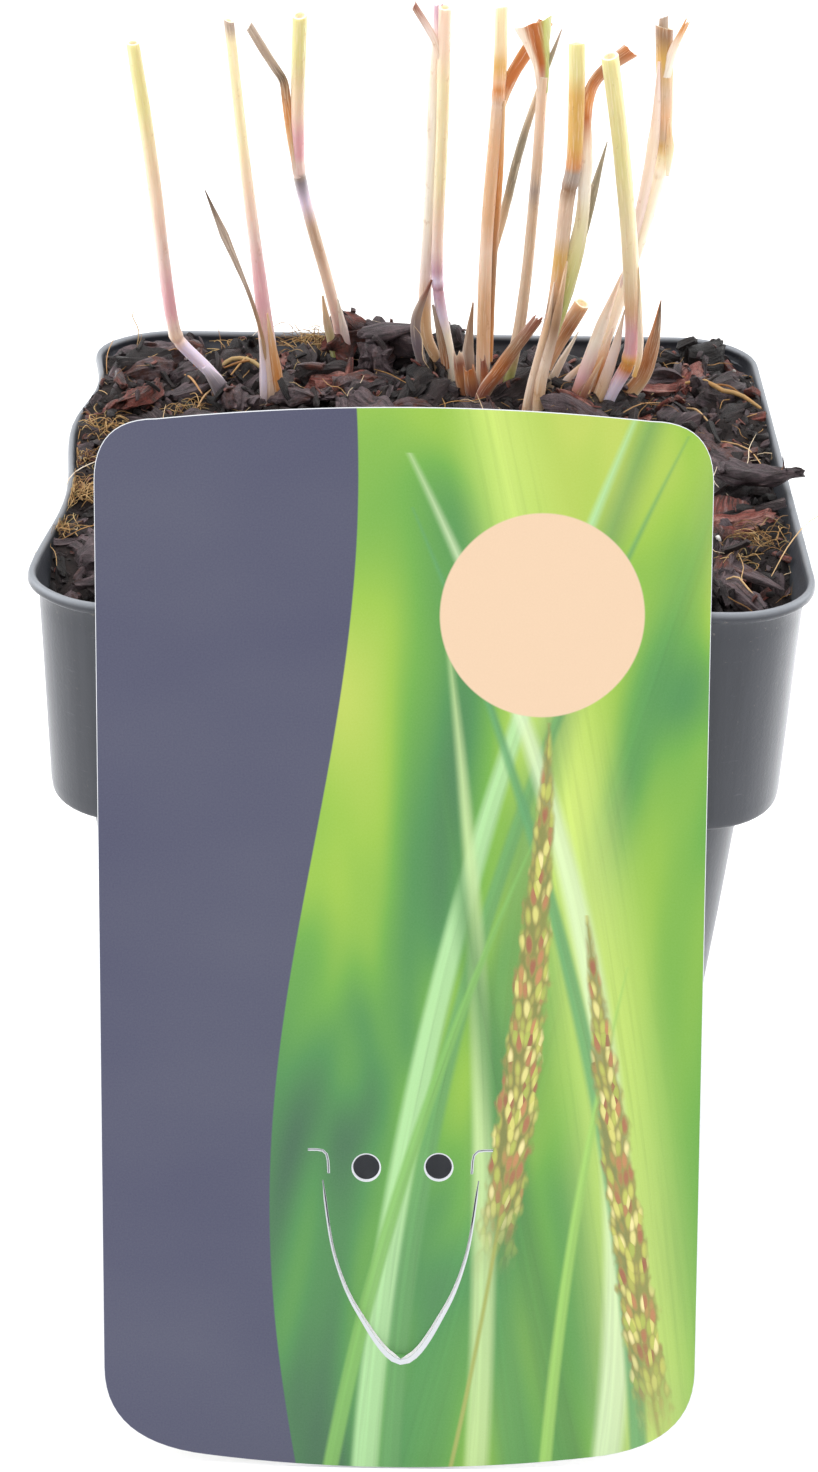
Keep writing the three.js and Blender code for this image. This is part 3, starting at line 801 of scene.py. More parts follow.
def chipPlaces():
    draw = chipDraw(soil["chipSeed"])
    rows = soil["chipRows"]
    reach = pot["bandHalf"] - pot["wall"] - 3
    chips = []
    for row in range(rows):
        for column in range(rows):
            size = [draw(*limits) for limits in soil["chipSizes"]]
            corners = boxCorners(size, draw)
            x = reach * (2 * (column + draw(0.1, 0.9)) / rows - 1)
            y = reach * (2 * (row + draw(0.1, 0.9)) / rows - 1)
            z = soilHeight(x, y) + draw(-0.2, 0.6)
            turns = (draw(0, math.pi), draw(-0.35, 0.35), draw(-0.4, 0.4))
            chips.append((corners, (x, y, z), turns, None, 1))
    for place, size, yaw, pitch, tone, relief in largeChips:
        turns = (math.radians(yaw), math.radians(pitch), 0)
        chips.append((boxCorners(size, draw), place, turns, tone, relief))
    return chips


def turned(points, yaw, pitch, roll):
    turn = Matrix.Rotation(yaw, 3, "Z") @ Matrix.Rotation(pitch, 3, "Y") @ Matrix.Rotation(roll, 3, "X")
    return points @ np.array(turn).T


# A slice of a chip between two shares of its width.
def sliceOf(corners, start, end):
    part = corners.copy()
    for side, share in ((0, start), (1, end)):
        part[:, side] = corners[:, 0] * (1 - share) + corners[:, 1] * share
    return part


# Narrows a shard of so much length towards its right end, to no less than a share.
def pointed(shape, length, least):
    taper = np.clip((0.5 - shape[:, 0] / length) / 0.6, least, 1) ** 0.6
    shape[:, 1:] *= taper[:, None]
    return shape


# All the chips of the plain part, as shards. Most of the small ones are split in two.
def makeChips():
    pick = random.Random(soil["shardSeed"])
    heap = newHeap()
    whole, half = (boxTemplate(cells) for cells in soil["chipCells"])
    for corners, place, turns, tone, relief in chipPlaces():
        unsplit = tone is not None or pick.random() < soil["wholeShare"]
        cuts = [0, 1] if unsplit else [0, pick.uniform(0.35, 0.65), 1]
        for start, end in zip(cuts, cuts[1:]):
            part = sliceOf(corners, start, end)
            template = whole if unsplit else half
            shape, quads, grain = barkShard(template, part, pick.uniform(0, 90), relief)
            if not unsplit:
                shape = turned(shape, *(pick.uniform(-most, most) for most in (0.2, 0.12, 0.3)))
                shape[:, 2] += pick.uniform(-0.3, 0.3)
            if place is largeChips[-1][0]:  # the one over the rim
                points = turned(pointed(shape, *soil["rimChipTaper"]), *turns) + place
            else:
                points = keepInside(turned(shape, *turns) + place)
            shade = pick.choice(chipTones) if tone is None else tone
            addTo(heap, points, quads, tone=shade, grain=grain + pick.uniform(0, 400))
    return heap


def barkMaterial():
    material, tree, shader = newMaterial("barkMulch", IOR=1.45)
    grain = attributeOf(tree, "grain", "Vector")
    tone = attributeOf(tree, "tone")
    streaks = noiseOf(tree, grain, (0.22, 2.0, 2.0), 6, 0.68)
    patches = noiseOf(tree, grain, 0.45, 5, 0.65)
    crumbs = noiseOf(tree, grain, 2.6, 5, 0.72)
    shifted = timesPlus(tree, calc(tree, "SUBTRACT", patches, 0.5), 0.7, tone, clamp=True)
    body = ramp(tree, shifted, barkTones)
    # Dark along the grooves of the grain, where the relief is low: painted shade.
    body = tinted(tree, body, soil["dark"], streaks, 0.52, 0.38, 0.8)
    # Pale along the ridges of the grain, more on the paler chips: painted highlight.
    body = tinted(tree, body, soil["ridgeHighlight"], streaks, 0.56, 0.7, times(tree, tone, 0.8))
    body = tinted(tree, body, soil["dark"], crumbs, 0.46, 0.76, 0.55)
    relief = bump(tree, timesPlus(tree, crumbs, 0.6, streaks), 0.45, 1.0)
    dull = rangeOf(tree, patches, 0.35, 0.65, 0.28, 0.62)
    wear(tree, shader, body, dull, relief)
    return material


def finishTree(tree, shapes, finish):
    real = addNode(tree, "GeometryNodeRealizeInstances", {0: shapes})
    done = addNode(tree, "GeometryNodeSetMaterial", {"Geometry": real.outputs[0], "Material": finish})
    addNode(tree, "NodeGroupOutput", {0: done.outputs[0]})


# Grows copies of small shapes on a surface: spread evenly apart, each turned and tilted by a
# seeded draw, with its own tone.
def scatterTree():
    tree, given = newTree("scatterOnSoil", "GeometryNodeTree", [
        ("Surface", "Geometry"), ("Shapes", "Collection"), ("Spacing", "Float"), ("Density", "Float"),
        ("Smallest", "Float"), ("Largest", "Float"), ("Tilt", "Float"), ("Lift", "Float"), ("Seed", "Int"),
        ("Darkest", "Float"), ("Palest", "Float"), ("Finish", "Material")], [("Result", "Geometry")])

    def draw(kind, low, high, shift):
        place = ("FLOAT_VECTOR", "FLOAT", "INT").index(kind)
        values = {0: given["Seed"], 1: shift}
        seed = addNode(tree, "FunctionNodeIntegerMath", values, operation="ADD").outputs[0]
        values = {2 * place: low, 2 * place + 1: high, "Seed": seed}
        return addNode(tree, "FunctionNodeRandomValue", values, data_type=kind).outputs[place]

    facing = separated(tree, addNode(tree, "GeometryNodeInputNormal").outputs[0])
    upward = addNode(tree, "FunctionNodeCompare", {0: facing[2], 1: soil["facing"]},
                     operation="GREATER_THAN")
    spread = addNode(tree, "GeometryNodeDistributePointsOnFaces", {
        "Mesh": given["Surface"], "Selection": upward.outputs[0], "Seed": given["Seed"],
        "Distance Min": given["Spacing"], "Density Max": given["Density"]}, distribute_method="POISSON")
    back = times(tree, given["Tilt"], -1.0)
    spin = draw("FLOAT_VECTOR", combined(tree, back, back),
                combined(tree, given["Tilt"], given["Tilt"], 2 * math.pi), 1)
    spin = addNode(tree, "FunctionNodeEulerToRotation", {0: spin}).outputs[0]
    spin = addNode(tree, "FunctionNodeRotateRotation", {0: spread.outputs["Rotation"], 1: spin},
                   rotation_space="LOCAL").outputs[0]
    lifted = addNode(tree, "GeometryNodeSetPosition", {
        "Geometry": spread.outputs[0], "Offset": combined(tree, z=given["Lift"])})
    shapes = addNode(tree, "GeometryNodeCollectionInfo", {
        "Collection": given["Shapes"], "Separate Children": True, "Reset Children": True})
    copies = addNode(tree, "GeometryNodeInstanceOnPoints", {
        "Points": lifted.outputs[0], "Instance": shapes.outputs[0], "Pick Instance": True,
        "Instance Index": draw("INT", 0, 100, 3), "Rotation": spin,
        "Scale": draw("FLOAT", given["Smallest"], given["Largest"], 2)})
    tone = draw("FLOAT", given["Darkest"], given["Palest"], 4)
    values = {"Geometry": copies.outputs[0], "Name": "tone", "Value": tone}
    toned = addNode(tree, "GeometryNodeStoreNamedAttribute", values, data_type="FLOAT", domain="INSTANCE")
    finishTree(tree, toned.outputs[0], given["Finish"])
    return tree


# A new piece grown by a node tree on a surface, as a plain mesh inside the pot.
def grow(name, surface, tree, shapes, finish, **values):
    holder = bpy.data.collections.new(name + "Shapes")
    scene.collection.children.link(holder)
    for number, (points, faces, grain) in enumerate(shapes):
        extra = {} if grain is None else {"grain": grain}
        shape = makePiece(f"{name}Shape{number}", points, faces, [finish], smooth=50, values=extra)
        scene.collection.objects.unlink(shape)
        holder.objects.link(shape)
    piece = makePiece(name, surface["points"], surface["faces"], [], smooth=0)
    values.update(Shapes=holder, Finish=finish, Spacing=values["Spacing"] * mm, Lift=values["Lift"] * mm)
    addTree(piece, tree, values)
    applyModifiers(piece)
    for shape in list(holder.objects):
        bpy.data.objects.remove(shape)
    bpy.data.collections.remove(holder)
    points = np.empty(3 * len(piece.data.vertices))
    piece.data.vertices.foreach_get("co", points)
    points = keepInside(points.reshape(-1, 3) / mm) * mm
    piece.data.vertices.foreach_set("co", points.ravel())
    piece.data.update()
    return piece


# A thin tube along a path, pointed at both ends.
def tube(path, radius, sides=4, steps=9, blunt=0.25):
    shares = np.linspace(0, 1, steps)
    line = smoothPath(path, shares)[0]
    _, across, through = bladeFrames(line, np.zeros(steps))
    size = radius * (blunt + (1 - blunt) * np.sin(np.pi * np.clip(shares, 0.02, 0.98)) ** 0.5)
    points = [line[k] + size[k] * (across[k] * math.cos(angle) + through[k] * math.sin(angle))
              for k in range(steps) for angle in anglesOf(sides)]
    return points, skin(steps, sides)


# Short bent fibres, as points, faces and no grain.
def fibreShapes(count, length, bend, radius, seed):
    pick = random.Random(seed)
    shapes = []
    for _ in range(count):
        reach = length * pick.uniform(0.6, 1.2)
        sway = bend * reach
        path = [(reach * t, (t > 0) * sway * pick.uniform(-0.5, 0.5),
                 (t > 0) * sway * pick.uniform(-0.1, 0.35)) for t in (0, 0.3, 0.65, 1)]
        shapes.append((*tube(path, radius * pick.uniform(0.7, 1.3)), None))
    return shapes


def shardShapes(count, size, cells, seed, relief=1.4):
    pick = random.Random(seed)
    shapes = []
    for _ in range(count):
        corners = boxCorners([side * pick.uniform(0.7, 1.3) for side in size], pick.uniform)
        shapes.append(barkShard(boxTemplate(cells), corners, pick.uniform(0, 90), relief))
    return shapes


def fibreMaterial(name, stops):
    material, tree, shader = newMaterial(name, Roughness=0.7, IOR=1.4)
    tone = attributeOf(tree, "tone")
    blotch = noiseOf(tree, placeOf(tree), 0.9, 3, 0.6)
    shifted = timesPlus(tree, calc(tree, "SUBTRACT", blotch, 0.5), 0.6, tone, clamp=True)
    wear(tree, shader, ramp(tree, shifted, stops))
    return material


soilPoints, soilFaces = soilGrid()
makeSoilBed(soilPoints, soilFaces)
chipHeap = makeChips()
barkFinish = barkMaterial()
strawFinish = fibreMaterial("barkFibre", strawTones)
settle(pieceOf("barkChips", chipHeap, [barkFinish], smooth=55), "bark_mulch")

earth, ground = newHeap(), newHeap()
addTo(earth, soilPoints, soilFaces)
addTo(ground, soilPoints, soilFaces)
addTo(ground, chipHeap["points"], chipHeap["faces"])
scatter = scatterTree()
perliteFinish = fibreMaterial("perlite", [(0.0, paint(150, 146, 140)), (1.0, paint(228, 228, 224))])

# Name, surface, shapes and material of each kind of loose bit, and how it is strewn.
pieces = [
    ("barkFlakes", ground, shardShapes(7, (6.5, 2.8, 1.2), (9, 5, 2), 89, 1.1), barkFinish,
     {"Spacing": 5.6, "Density": 4e4, "Smallest": 0.5, "Largest": 1.1, "Tilt": 0.3,
      "Lift": 0.1, "Seed": 12, "Darkest": 0.1, "Palest": 0.95}),
    ("barkBits", ground, shardShapes(8, (3.6, 1.4, 0.8), (7, 4, 2), 31), barkFinish,
     {"Spacing": 2.4, "Density": 2.2e5, "Smallest": 0.4, "Largest": 1.15, "Tilt": 0.5,
      "Lift": 0.15, "Seed": 3, "Darkest": 0.0, "Palest": 0.9}),
    # The soil crumbs take only the darker tones: dark humus, with the shade of the gaps between the chips
    # painted in.
    ("soilCrumbs", earth, shardShapes(7, (1.1, 0.9, 0.8), (3, 2, 2), 47, 1.8), barkFinish,
     {"Spacing": 1.15, "Density": 1.1e6, "Smallest": 0.4, "Largest": 1.2, "Tilt": 0.8,
      "Lift": 0.1, "Seed": 8, "Darkest": 0.0, "Palest": 0.5}),
    ("barkFlecks", ground, shardShapes(6, (1.5, 0.5, 0.25), (4, 2, 1), 73, 1.2), barkFinish,
     {"Spacing": 2.2, "Density": 2.2e5, "Smallest": 0.5, "Largest": 1.3, "Tilt": 0.5,
      "Lift": 0.3, "Seed": 14, "Darkest": 0.5, "Palest": 1.0}),
    ("barkFibres", ground, fibreShapes(9, 5, 0.25, 0.045, 5), strawFinish,
     {"Spacing": 2.9, "Density": 1.5e5, "Smallest": 0.25, "Largest": 1.3, "Tilt": 0.25,
      "Lift": 0.35, "Seed": 21, "Darkest": 0.0, "Palest": 1.0}),
    ("perliteGrains", ground, shardShapes(3, (1, 0.9, 0.8), (3, 3, 3), 61, 1.0), perliteFinish,
     {"Spacing": 13, "Density": 1.2e4, "Smallest": 0.4, "Largest": 0.75, "Tilt": 0.8,
      "Lift": 0.5, "Seed": 5, "Darkest": 0.0, "Palest": 1.0}),
]
for name, surface, shapes, finish, values in pieces:
    settle(grow(name, surface, scatter, shapes, finish, **values), "bark_mulch")

# Long slivers of bark on top: left and right end, width, thickness and tone.
slivers = [
    ((-44, 15.8, 94.8), (-37.8, 29.2, 94.6), 3.2, 0.9, 0.93),
    ((34.2, -24.5, 92.6), (41.6, -33.2, 92.6), 2.4, 1.1, 0.64),
    ((-34, 19, 94.8), (-27, 28, 95), 3, 1, 0.52),
    ((29, 24, 95.6), (38, 30, 95.4), 3.2, 1.2, 0.6),
    ((-42, -21, 93.4), (-36.6, -30, 93), 5, 1.4, 0.6),
    ((33, 8, 95.2), (42.4, 14, 95), 3, 1, 0.42),
    ((-9, 31, 99.6), (0, 34, 100.2), 3.4, 1.3, 0.55),
]


def makeSlivers():
    heap = newHeap()
    template = boxTemplate(soil["sliverCells"])
    for number, (start, end, width, thickness, tone) in enumerate(slivers):
        start, end = np.array(start), np.array(end)
        length = np.linalg.norm(end - start)
        corners = boxCorners((length, width, thickness))
        shape, quads, grain = barkShard(template, corners, 5.3 * number, 0.8)
        shape = pointed(shape, length, soil["sliverPoint"])
        way = (end - start) / length
        side = unit(np.cross((0, 0, 1), way))
        turn = np.array([way, side, np.cross(way, side)])
        points = keepInside(shape @ turn + (start + end) / 2)
        addTo(heap, points, quads, tone=tone, grain=grain + 31 * number)
    return heap


settle(pieceOf("barkSlivers", makeSlivers(), [barkFinish], smooth=55), "bark_mulch")

# Tufts of fine fibres: place, spread, how many and how long.
tufts = [
    ((-41, 7, 95.2), 2.4, 120, 3), ((-42, -13.5, 95), 2.8, 130, 3), ((-42.6, -22.5, 94.4), 1.8, 60, 2.6),
    ((-42.6, -2, 95), 2, 40, 2.4), ((18.4, 13.4, 97.4), 1.6, 14, 4.6), ((-15.5, 41, 94.6), 3.6, 80, 5),
    ((-26.6, 38.6, 94.4), 1.8, 24, 3.4), ((40.2, -20.6, 93.6), 2.6, 46, 3.2),
    ((36.6, -25, 93.2), 2.2, 26, 3), ((-30.5, 14.5, 95), 2.2, 20, 3.6), ((30.6, 8.6, 95.2), 2.2, 18, 4),
]
# Single rootlets and hairs, each by the points that it passes, with its thickness.
rootlets = [
    ([(-40.2, 42, 93), (-39.8, 42.6, 95.6), (-40.6, 42.2, 98), (-40, 41, 99)], 0.08),
    ([(-28.2, 41.4, 93), (-28.8, 42, 96.4), (-30, 42, 99.2)], 0.05),
    ([(-25.5, 40, 93), (-23.6, 41.4, 96), (-21, 41.8, 97.4)], 0.05),
    ([(-44, -24, 93), (-45.6, -31.6, 94.6), (-46.6, -40, 88), (-47, -48, 78)], 0.05),
    ([(-42.6, 27.3, 93.6), (-43, 31, 96), (-42.4, 37, 97)], 0.06),
    ([(-32.7, 27.9, 95), (-31, 23.4, 96), (-29.3, 19, 95.6)], 0.16),
    ([(-29.6, 14.6, 95.4), (-29, 16.6, 96), (-28.2, 19.4, 96)], 0.14),
    ([(-44.2, -14, 93.8), (-43.2, -9, 95.6), (-39.6, -3, 95.6)], 0.07),
    ([(33.9, 16.2, 95.6), (35, 13.4, 96.4), (36.7, 9.8, 95.6)], 0.14),
    ([(35.2, 5.7, 95), (37.2, 4.4, 95.8), (40.4, 2.7, 95.6), (42.6, -3.6, 94.6)], 0.09),
    ([(34.7, -30.6, 92.4), (36.3, -31.4, 93.4), (37.2, -33, 93), (38.4, -35.4, 92.4)], 0.12),
    ([(40.4, -30.7, 93.2), (43, -26.2, 95.6), (45.8, -23, 97.2), (48, -22, 97.6)], 0.08),
    ([(24, 11, 96), (27.4, 12.6, 97.4), (31, 15.4, 96.6)], 0.08),
    ([(36.4, -1.6, 94.8), (35.6, -7, 95), (37.2, -10.6, 94.6)], 0.05),
    ([(-38.4, 34, 94.2), (-34, 36.4, 95.4), (-31.4, 33, 95)], 0.06),
]
straws = [
    ([(34, 21, 97.2), (36.4, 19.8, 98), (38.6, 18, 97.4), (40.6, 17.4, 97.2), (43.4, 15.4, 96)], 0.32),
    ([(37, 19.6, 97.6), (39.4, 18.6, 97.8), (41, 18.4, 96.8)], 0.16),
    ([(-28.2, 27.4, 95.6), (-26, 29.4, 96.6), (-23.6, 29, 96.6), (-21.6, 27.4, 95.8)], 0.34),
    ([(-27, 27.6, 96), (-25, 27.6, 96.8), (-22.8, 29.8, 96.4)], 0.18),
    ([(-26, 26, 95.6), (-24.6, 28, 96.8), (-24, 30.6, 96.6)], 0.14),
]


# Round strands along curves, with the curves' own taper and a tone of each one's own.
def strandTree():
    tree, given = newTree("strandsOnCurves", "GeometryNodeTree", [
        ("Curves", "Geometry"), ("Sides", "Int"), ("Seed", "Int"), ("Finish", "Material")],
        [("Result", "Geometry")])
    draw = addNode(tree, "FunctionNodeRandomValue", {"Seed": given["Seed"]})
    toned = addNode(tree, "GeometryNodeStoreNamedAttribute", {
        "Geometry": given["Curves"], "Name": "tone", "Value": draw.outputs[1]},
        data_type="FLOAT", domain="CURVE")
    ring = addNode(tree, "GeometryNodeCurvePrimitiveCircle", {"Resolution": given["Sides"], "Radius": 1.0})
    skinned = addNode(tree, "GeometryNodeCurveToMesh", {
        "Curve": toned.outputs[0], "Profile Curve": ring.outputs[0],
        "Scale": addNode(tree, "GeometryNodeInputRadius").outputs[0], "Fill Caps": True})
    finishTree(tree, skinned.outputs[0], given["Finish"])
    return tree


def tuftStrands(place, spread, count, length, pick):
    strands = []
    for _ in range(count):
        angle, reach = pick.uniform(0, 2 * math.pi), length * pick.uniform(0.4, 1.2)
        shift = (pick.gauss(0, spread / 2), pick.gauss(0, spread / 2), pick.uniform(-0.8, 0.4))
        start = np.array(place) + shift
        way = np.array([math.cos(angle), math.sin(angle), 0])
        sway = np.array([-way[1], way[0], 0]) * pick.uniform(-0.35, 0.35) * reach
        rise = pick.uniform(0.1, 0.55) * reach
        middle = start + way * reach / 2 + sway + (0, 0, rise)
        end = start + way * reach + (0, 0, rise * pick.uniform(0.2, 1))
        strands.append((keepInside([start, middle, end]), pick.uniform(0.03, 0.07)))
    return strands


# A piece of strands, each given by its points and its radius.
def makeStrands(name, tree, strands, finish, sides, seed):
    curve = bpy.data.curves.new(name, "CURVE")
    curve.dimensions = "3D"
    shares = np.linspace(0, 1, 9)
    for points, radius in strands:
        spline = curve.splines.new("POLY")
        spline.points.add(len(shares) - 1)
        for point, spot, share in zip(spline.points, smoothPath(points, shares)[0], shares):
            point.co = (*(spot * mm), 1)
            point.radius = radius * mm * (0.25 + 0.75 * math.sin(math.pi * (0.1 + 0.8 * share)) ** 0.6)
    drawn = addObject(name, curve)
    addTree(drawn, tree, {"Sides": sides, "Seed": seed, "Finish": finish})
    mesh = finalMesh(drawn)
    bpy.data.objects.remove(drawn)
    mesh.polygons.foreach_set("use_smooth", [True] * len(mesh.polygons))
    settle(addObject(name, mesh), "bark_mulch")


mossTones = [(0.0, paint(96, 68, 42)), (0.35, paint(158, 120, 72)), (0.75, paint(196, 162, 112)),
             (1.0, paint(132, 122, 80))]
rootTones = [(0.0, paint(172, 128, 84)), (0.5, paint(206, 174, 128)), (1.0, paint(232, 220, 204))]
goldTones = [(0.0, paint(120, 80, 46)), (0.5, paint(170, 122, 68)), (1.0, paint(158, 142, 102))]
strands = strandTree()
pick = random.Random(soil["tuftSeed"])
mossStrands = [strand for tuft in tufts for strand in tuftStrands(*tuft, pick)]
makeStrands("mossTufts", strands, mossStrands, fibreMaterial("driedMoss", mossTones), 4, 2)
makeStrands("rootlets", strands, rootlets, fibreMaterial("rootlet", rootTones), 6, 9)
makeStrands("strawBits", strands, straws, fibreMaterial("goldenStraw", goldTones), 8, 4)
print("soil and mulch made")


# Stems

hues = {
    "yellowGreen": paint(222, 213, 150),
    "paleYellow": paint(236, 221, 180),
    "straw": paint(232, 212, 174),
    "cream": paint(248, 234, 216),
    "peach": paint(238, 210, 188),
    "blush": paint(234, 208, 200),
    "rose": paint(228, 178, 184),
    "plum": paint(202, 160, 180),
    "lilac": paint(228, 214, 234),
    "slateGrey": paint(150, 142, 150),
    "node": paint(234, 176, 84),
    "fawn": paint(216, 188, 164),
    "tan": paint(222, 180, 140),
    "golden": paint(212, 168, 84),
    "amber": paint(206, 134, 66),
    "rust": paint(176, 98, 40),
    "redBrown": paint(134, 80, 64),
    "brown": paint(150, 114, 84),
    "greyBrown": paint(164, 146, 134),
    "sand": paint(204, 178, 152),
    "greyGreen": paint(142, 134, 116),
    "chestnut": paint(172, 112, 66),
    "dusk": paint(106, 96, 108),
    "darkBrown": paint(88, 70, 58),
    "olive": paint(120, 112, 68),
    "leafGreen": paint(176, 182, 104),
    "pith": paint(242, 234, 204),
}

# Along each path from its foot up: radii, and tones by height. A joint is where the culm swells,
# as a share of its length, and a cut is the slope and the direction of its cut end, in degrees.
culms = {
    "1": {
        "path": [(-25, 20.5, 83), (-26.5, 20, 95.5), (-28.3, 19.5, 98.5), (-32.2, 18.6, 103.2),
                 (-32.8, 18, 105.6), (-34.5, 13.5, 128.5), (-35.9, 10, 144)],
        "radius": [0.85, 0.8, 0.88, 0.92, 0.84], "joint": 0.36, "swell": 0.1, "cut": (8, 200),
        "tones": "92 greyBrown, 98 lilac, 102.2 lilac, 102.9 blush, 103.9 peach, 105.6 blush, 107 rose, "
                 "110.5 rose, 115 blush, 122 peach, 130 straw, 136 yellowGreen, 142 yellowGreen",
    },
    "2": {
        "path": [(-20, 20.5, 83), (-20.2, 20.2, 95.5), (-21.3, 19.6, 108.4), (-23.2, 18.5, 127),
                 (-24.8, 17.5, 145)],
        "radius": [1.3, 1.2, 0.84, 0.72, 0.64], "cut": (24, 160),
        "tones": "92 brown, 97 peach, 103 blush, 108 rose, 112 rose, 117 blush, 123 peach, "
                 "130 paleYellow, 142.2 paleYellow, 144.3 greyBrown",
    },
    "3": {
        "path": [(-11, 36, 84), (-11.5, 35.6, 96.5), (-13, 33.4, 105), (-15.5, 30.6, 115.6),
                 (-16.8, 28.7, 122.5), (-16.9, 27, 129), (-16.3, 22.4, 144.5)],
        "radius": [0.85, 0.8, 0.8, 0.9, 0.95], "joint": 0.645, "swell": 0.08, "cut": (10, 30),
        "tones": "97 rose, 101 blush, 107 peach, 111 fawn, 115 sand, 118.5 lilac, 121.4 slateGrey, "
                 "122.2 greyBrown, 122.8 blush, 124.2 blush, 125.2 rose, 128 rose, 131 peach, "
                 "135 straw, 139 yellowGreen",
    },
    "4": {
        "path": [(3, 25.5, 84), (3.2, 25.1, 97.5), (2.2, 24.6, 103.5), (1.3, 24.1, 109.8),
                 (1.6, 22.6, 130), (1.7, 21.3, 146)],
        "radius": [0.8, 0.75, 0.8, 0.82], "joint": 0.41, "swell": 0.06, "cut": (12, 90),
        "tones": "92 brown, 96 cream, 102 cream, 105 lilac, 108.8 plum, 110 lilac, 111.2 plum, "
                 "114 blush, 118 peach, 123 paleYellow, 136 paleYellow, 141 peach, 145.5 peach",
    },
    "5": {
        "path": [(7.4, 20.8, 84), (7.4, 20.5, 97.5), (7.5, 20.9, 116.2), (8.6, 21.4, 135.9),
                 (8.7, 21.6, 146)],
        "radius": [0.95, 0.92, 0.88, 0.86, 0.82], "joint": 0.82, "swell": 0.05, "cut": (14, 320),
        "tones": "92 rust, 97 peach, 103 tan, 108 tan, 115 peach, 119 tan, 129 tan, 134 fawn, "
                 "135.8 amber, 136.8 tan, 139 golden, 141 straw, 145 paleYellow",
    },
    "6": {
        "path": [(9.9, 18.2, 84), (10.2, 18, 95.5), (12, 17.8, 106.5), (13.4, 17.5, 125),
                 (13.9, 17.2, 138.6)],
        "radius": [0.85, 0.78, 0.7, 0.68], "cut": (0, 0),
        "tones": "90 leafGreen, 95 paleYellow, 99 leafGreen, 103 sand, 109 sand, 121 sand, "
                 "124 greyBrown, 127 sand, 132 fawn, 138 fawn",
    },
    "7": {
        "path": [(13.2, 13.7, 84), (13.4, 13.5, 96.5), (16, 12.7, 110.2), (17.2, 11.8, 125),
                 (17.8, 11.4, 129), (17.8, 10.9, 139), (17.6, 10.5, 144.5)],
        "radius": [0.95, 0.92, 0.9, 0.98, 1], "joint": 0.71, "swell": 0.04, "cut": (10, 270),
        "tones": "92 tan, 98 peach, 106 peach, 110 brown, 113 tan, 117 golden, 120 fawn, 124 fawn, "
                 "126.2 brown, 127.4 greyBrown, 128.3 greyBrown, 129.2 amber, 132 golden, 138 golden, "
                 "141 yellowGreen, 144 yellowGreen",
    },
    "8": {
        "path": [(22.6, 15.8, 84), (23.3, 15.2, 96), (25.9, 14.3, 102.6), (26.2, 13.8, 106),
                 (25.1, 12, 119.4), (23.5, 10.3, 131.5), (21.5, 8.5, 143.5)],
        "radius": [0.85, 0.85, 1.05, 1.05, 1.05], "joint": 0.325, "swell": 0.1, "cut": (6, 60),
        "tones": "90 slateGrey, 94 lilac, 99.5 lilac, 101 rose, 101.7 amber, 103 node, 104.2 rose, "
                 "107 rose, 110 tan, 115 straw, 121 paleYellow, 130 yellowGreen, 143 yellowGreen",
    },
    "9": {
        "path": [(20, 17.2, 84), (20.6, 16.9, 96), (23.7, 16.8, 107.3), (26.8, 16.8, 118),
                 (28.9, 16.8, 127), (29.2, 16.8, 130.5), (28.5, 16.7, 145)],
        "radius": [1.05, 0.95, 0.85, 0.95, 1.1], "joint": 0.71, "swell": 0.06, "cut": (18, 200),
        "tones": "92 rust, 96 peach, 100 cream, 110 cream, 127 cream, 129 paleYellow, 130 golden, "
                 "131.4 sand, 134 tan, 137 sand, 141 golden, 144 brown",
    },
    "Stub": {
        "path": [(14, 23.6, 84), (15.1, 23, 96.9), (20, 20, 108.4)],
        "radius": [1, 1, 1.05], "cut": (0, 0),
        "tones": "92 brown, 98 tan, 102 tan, 105 chestnut, 108 tan",
    },
}

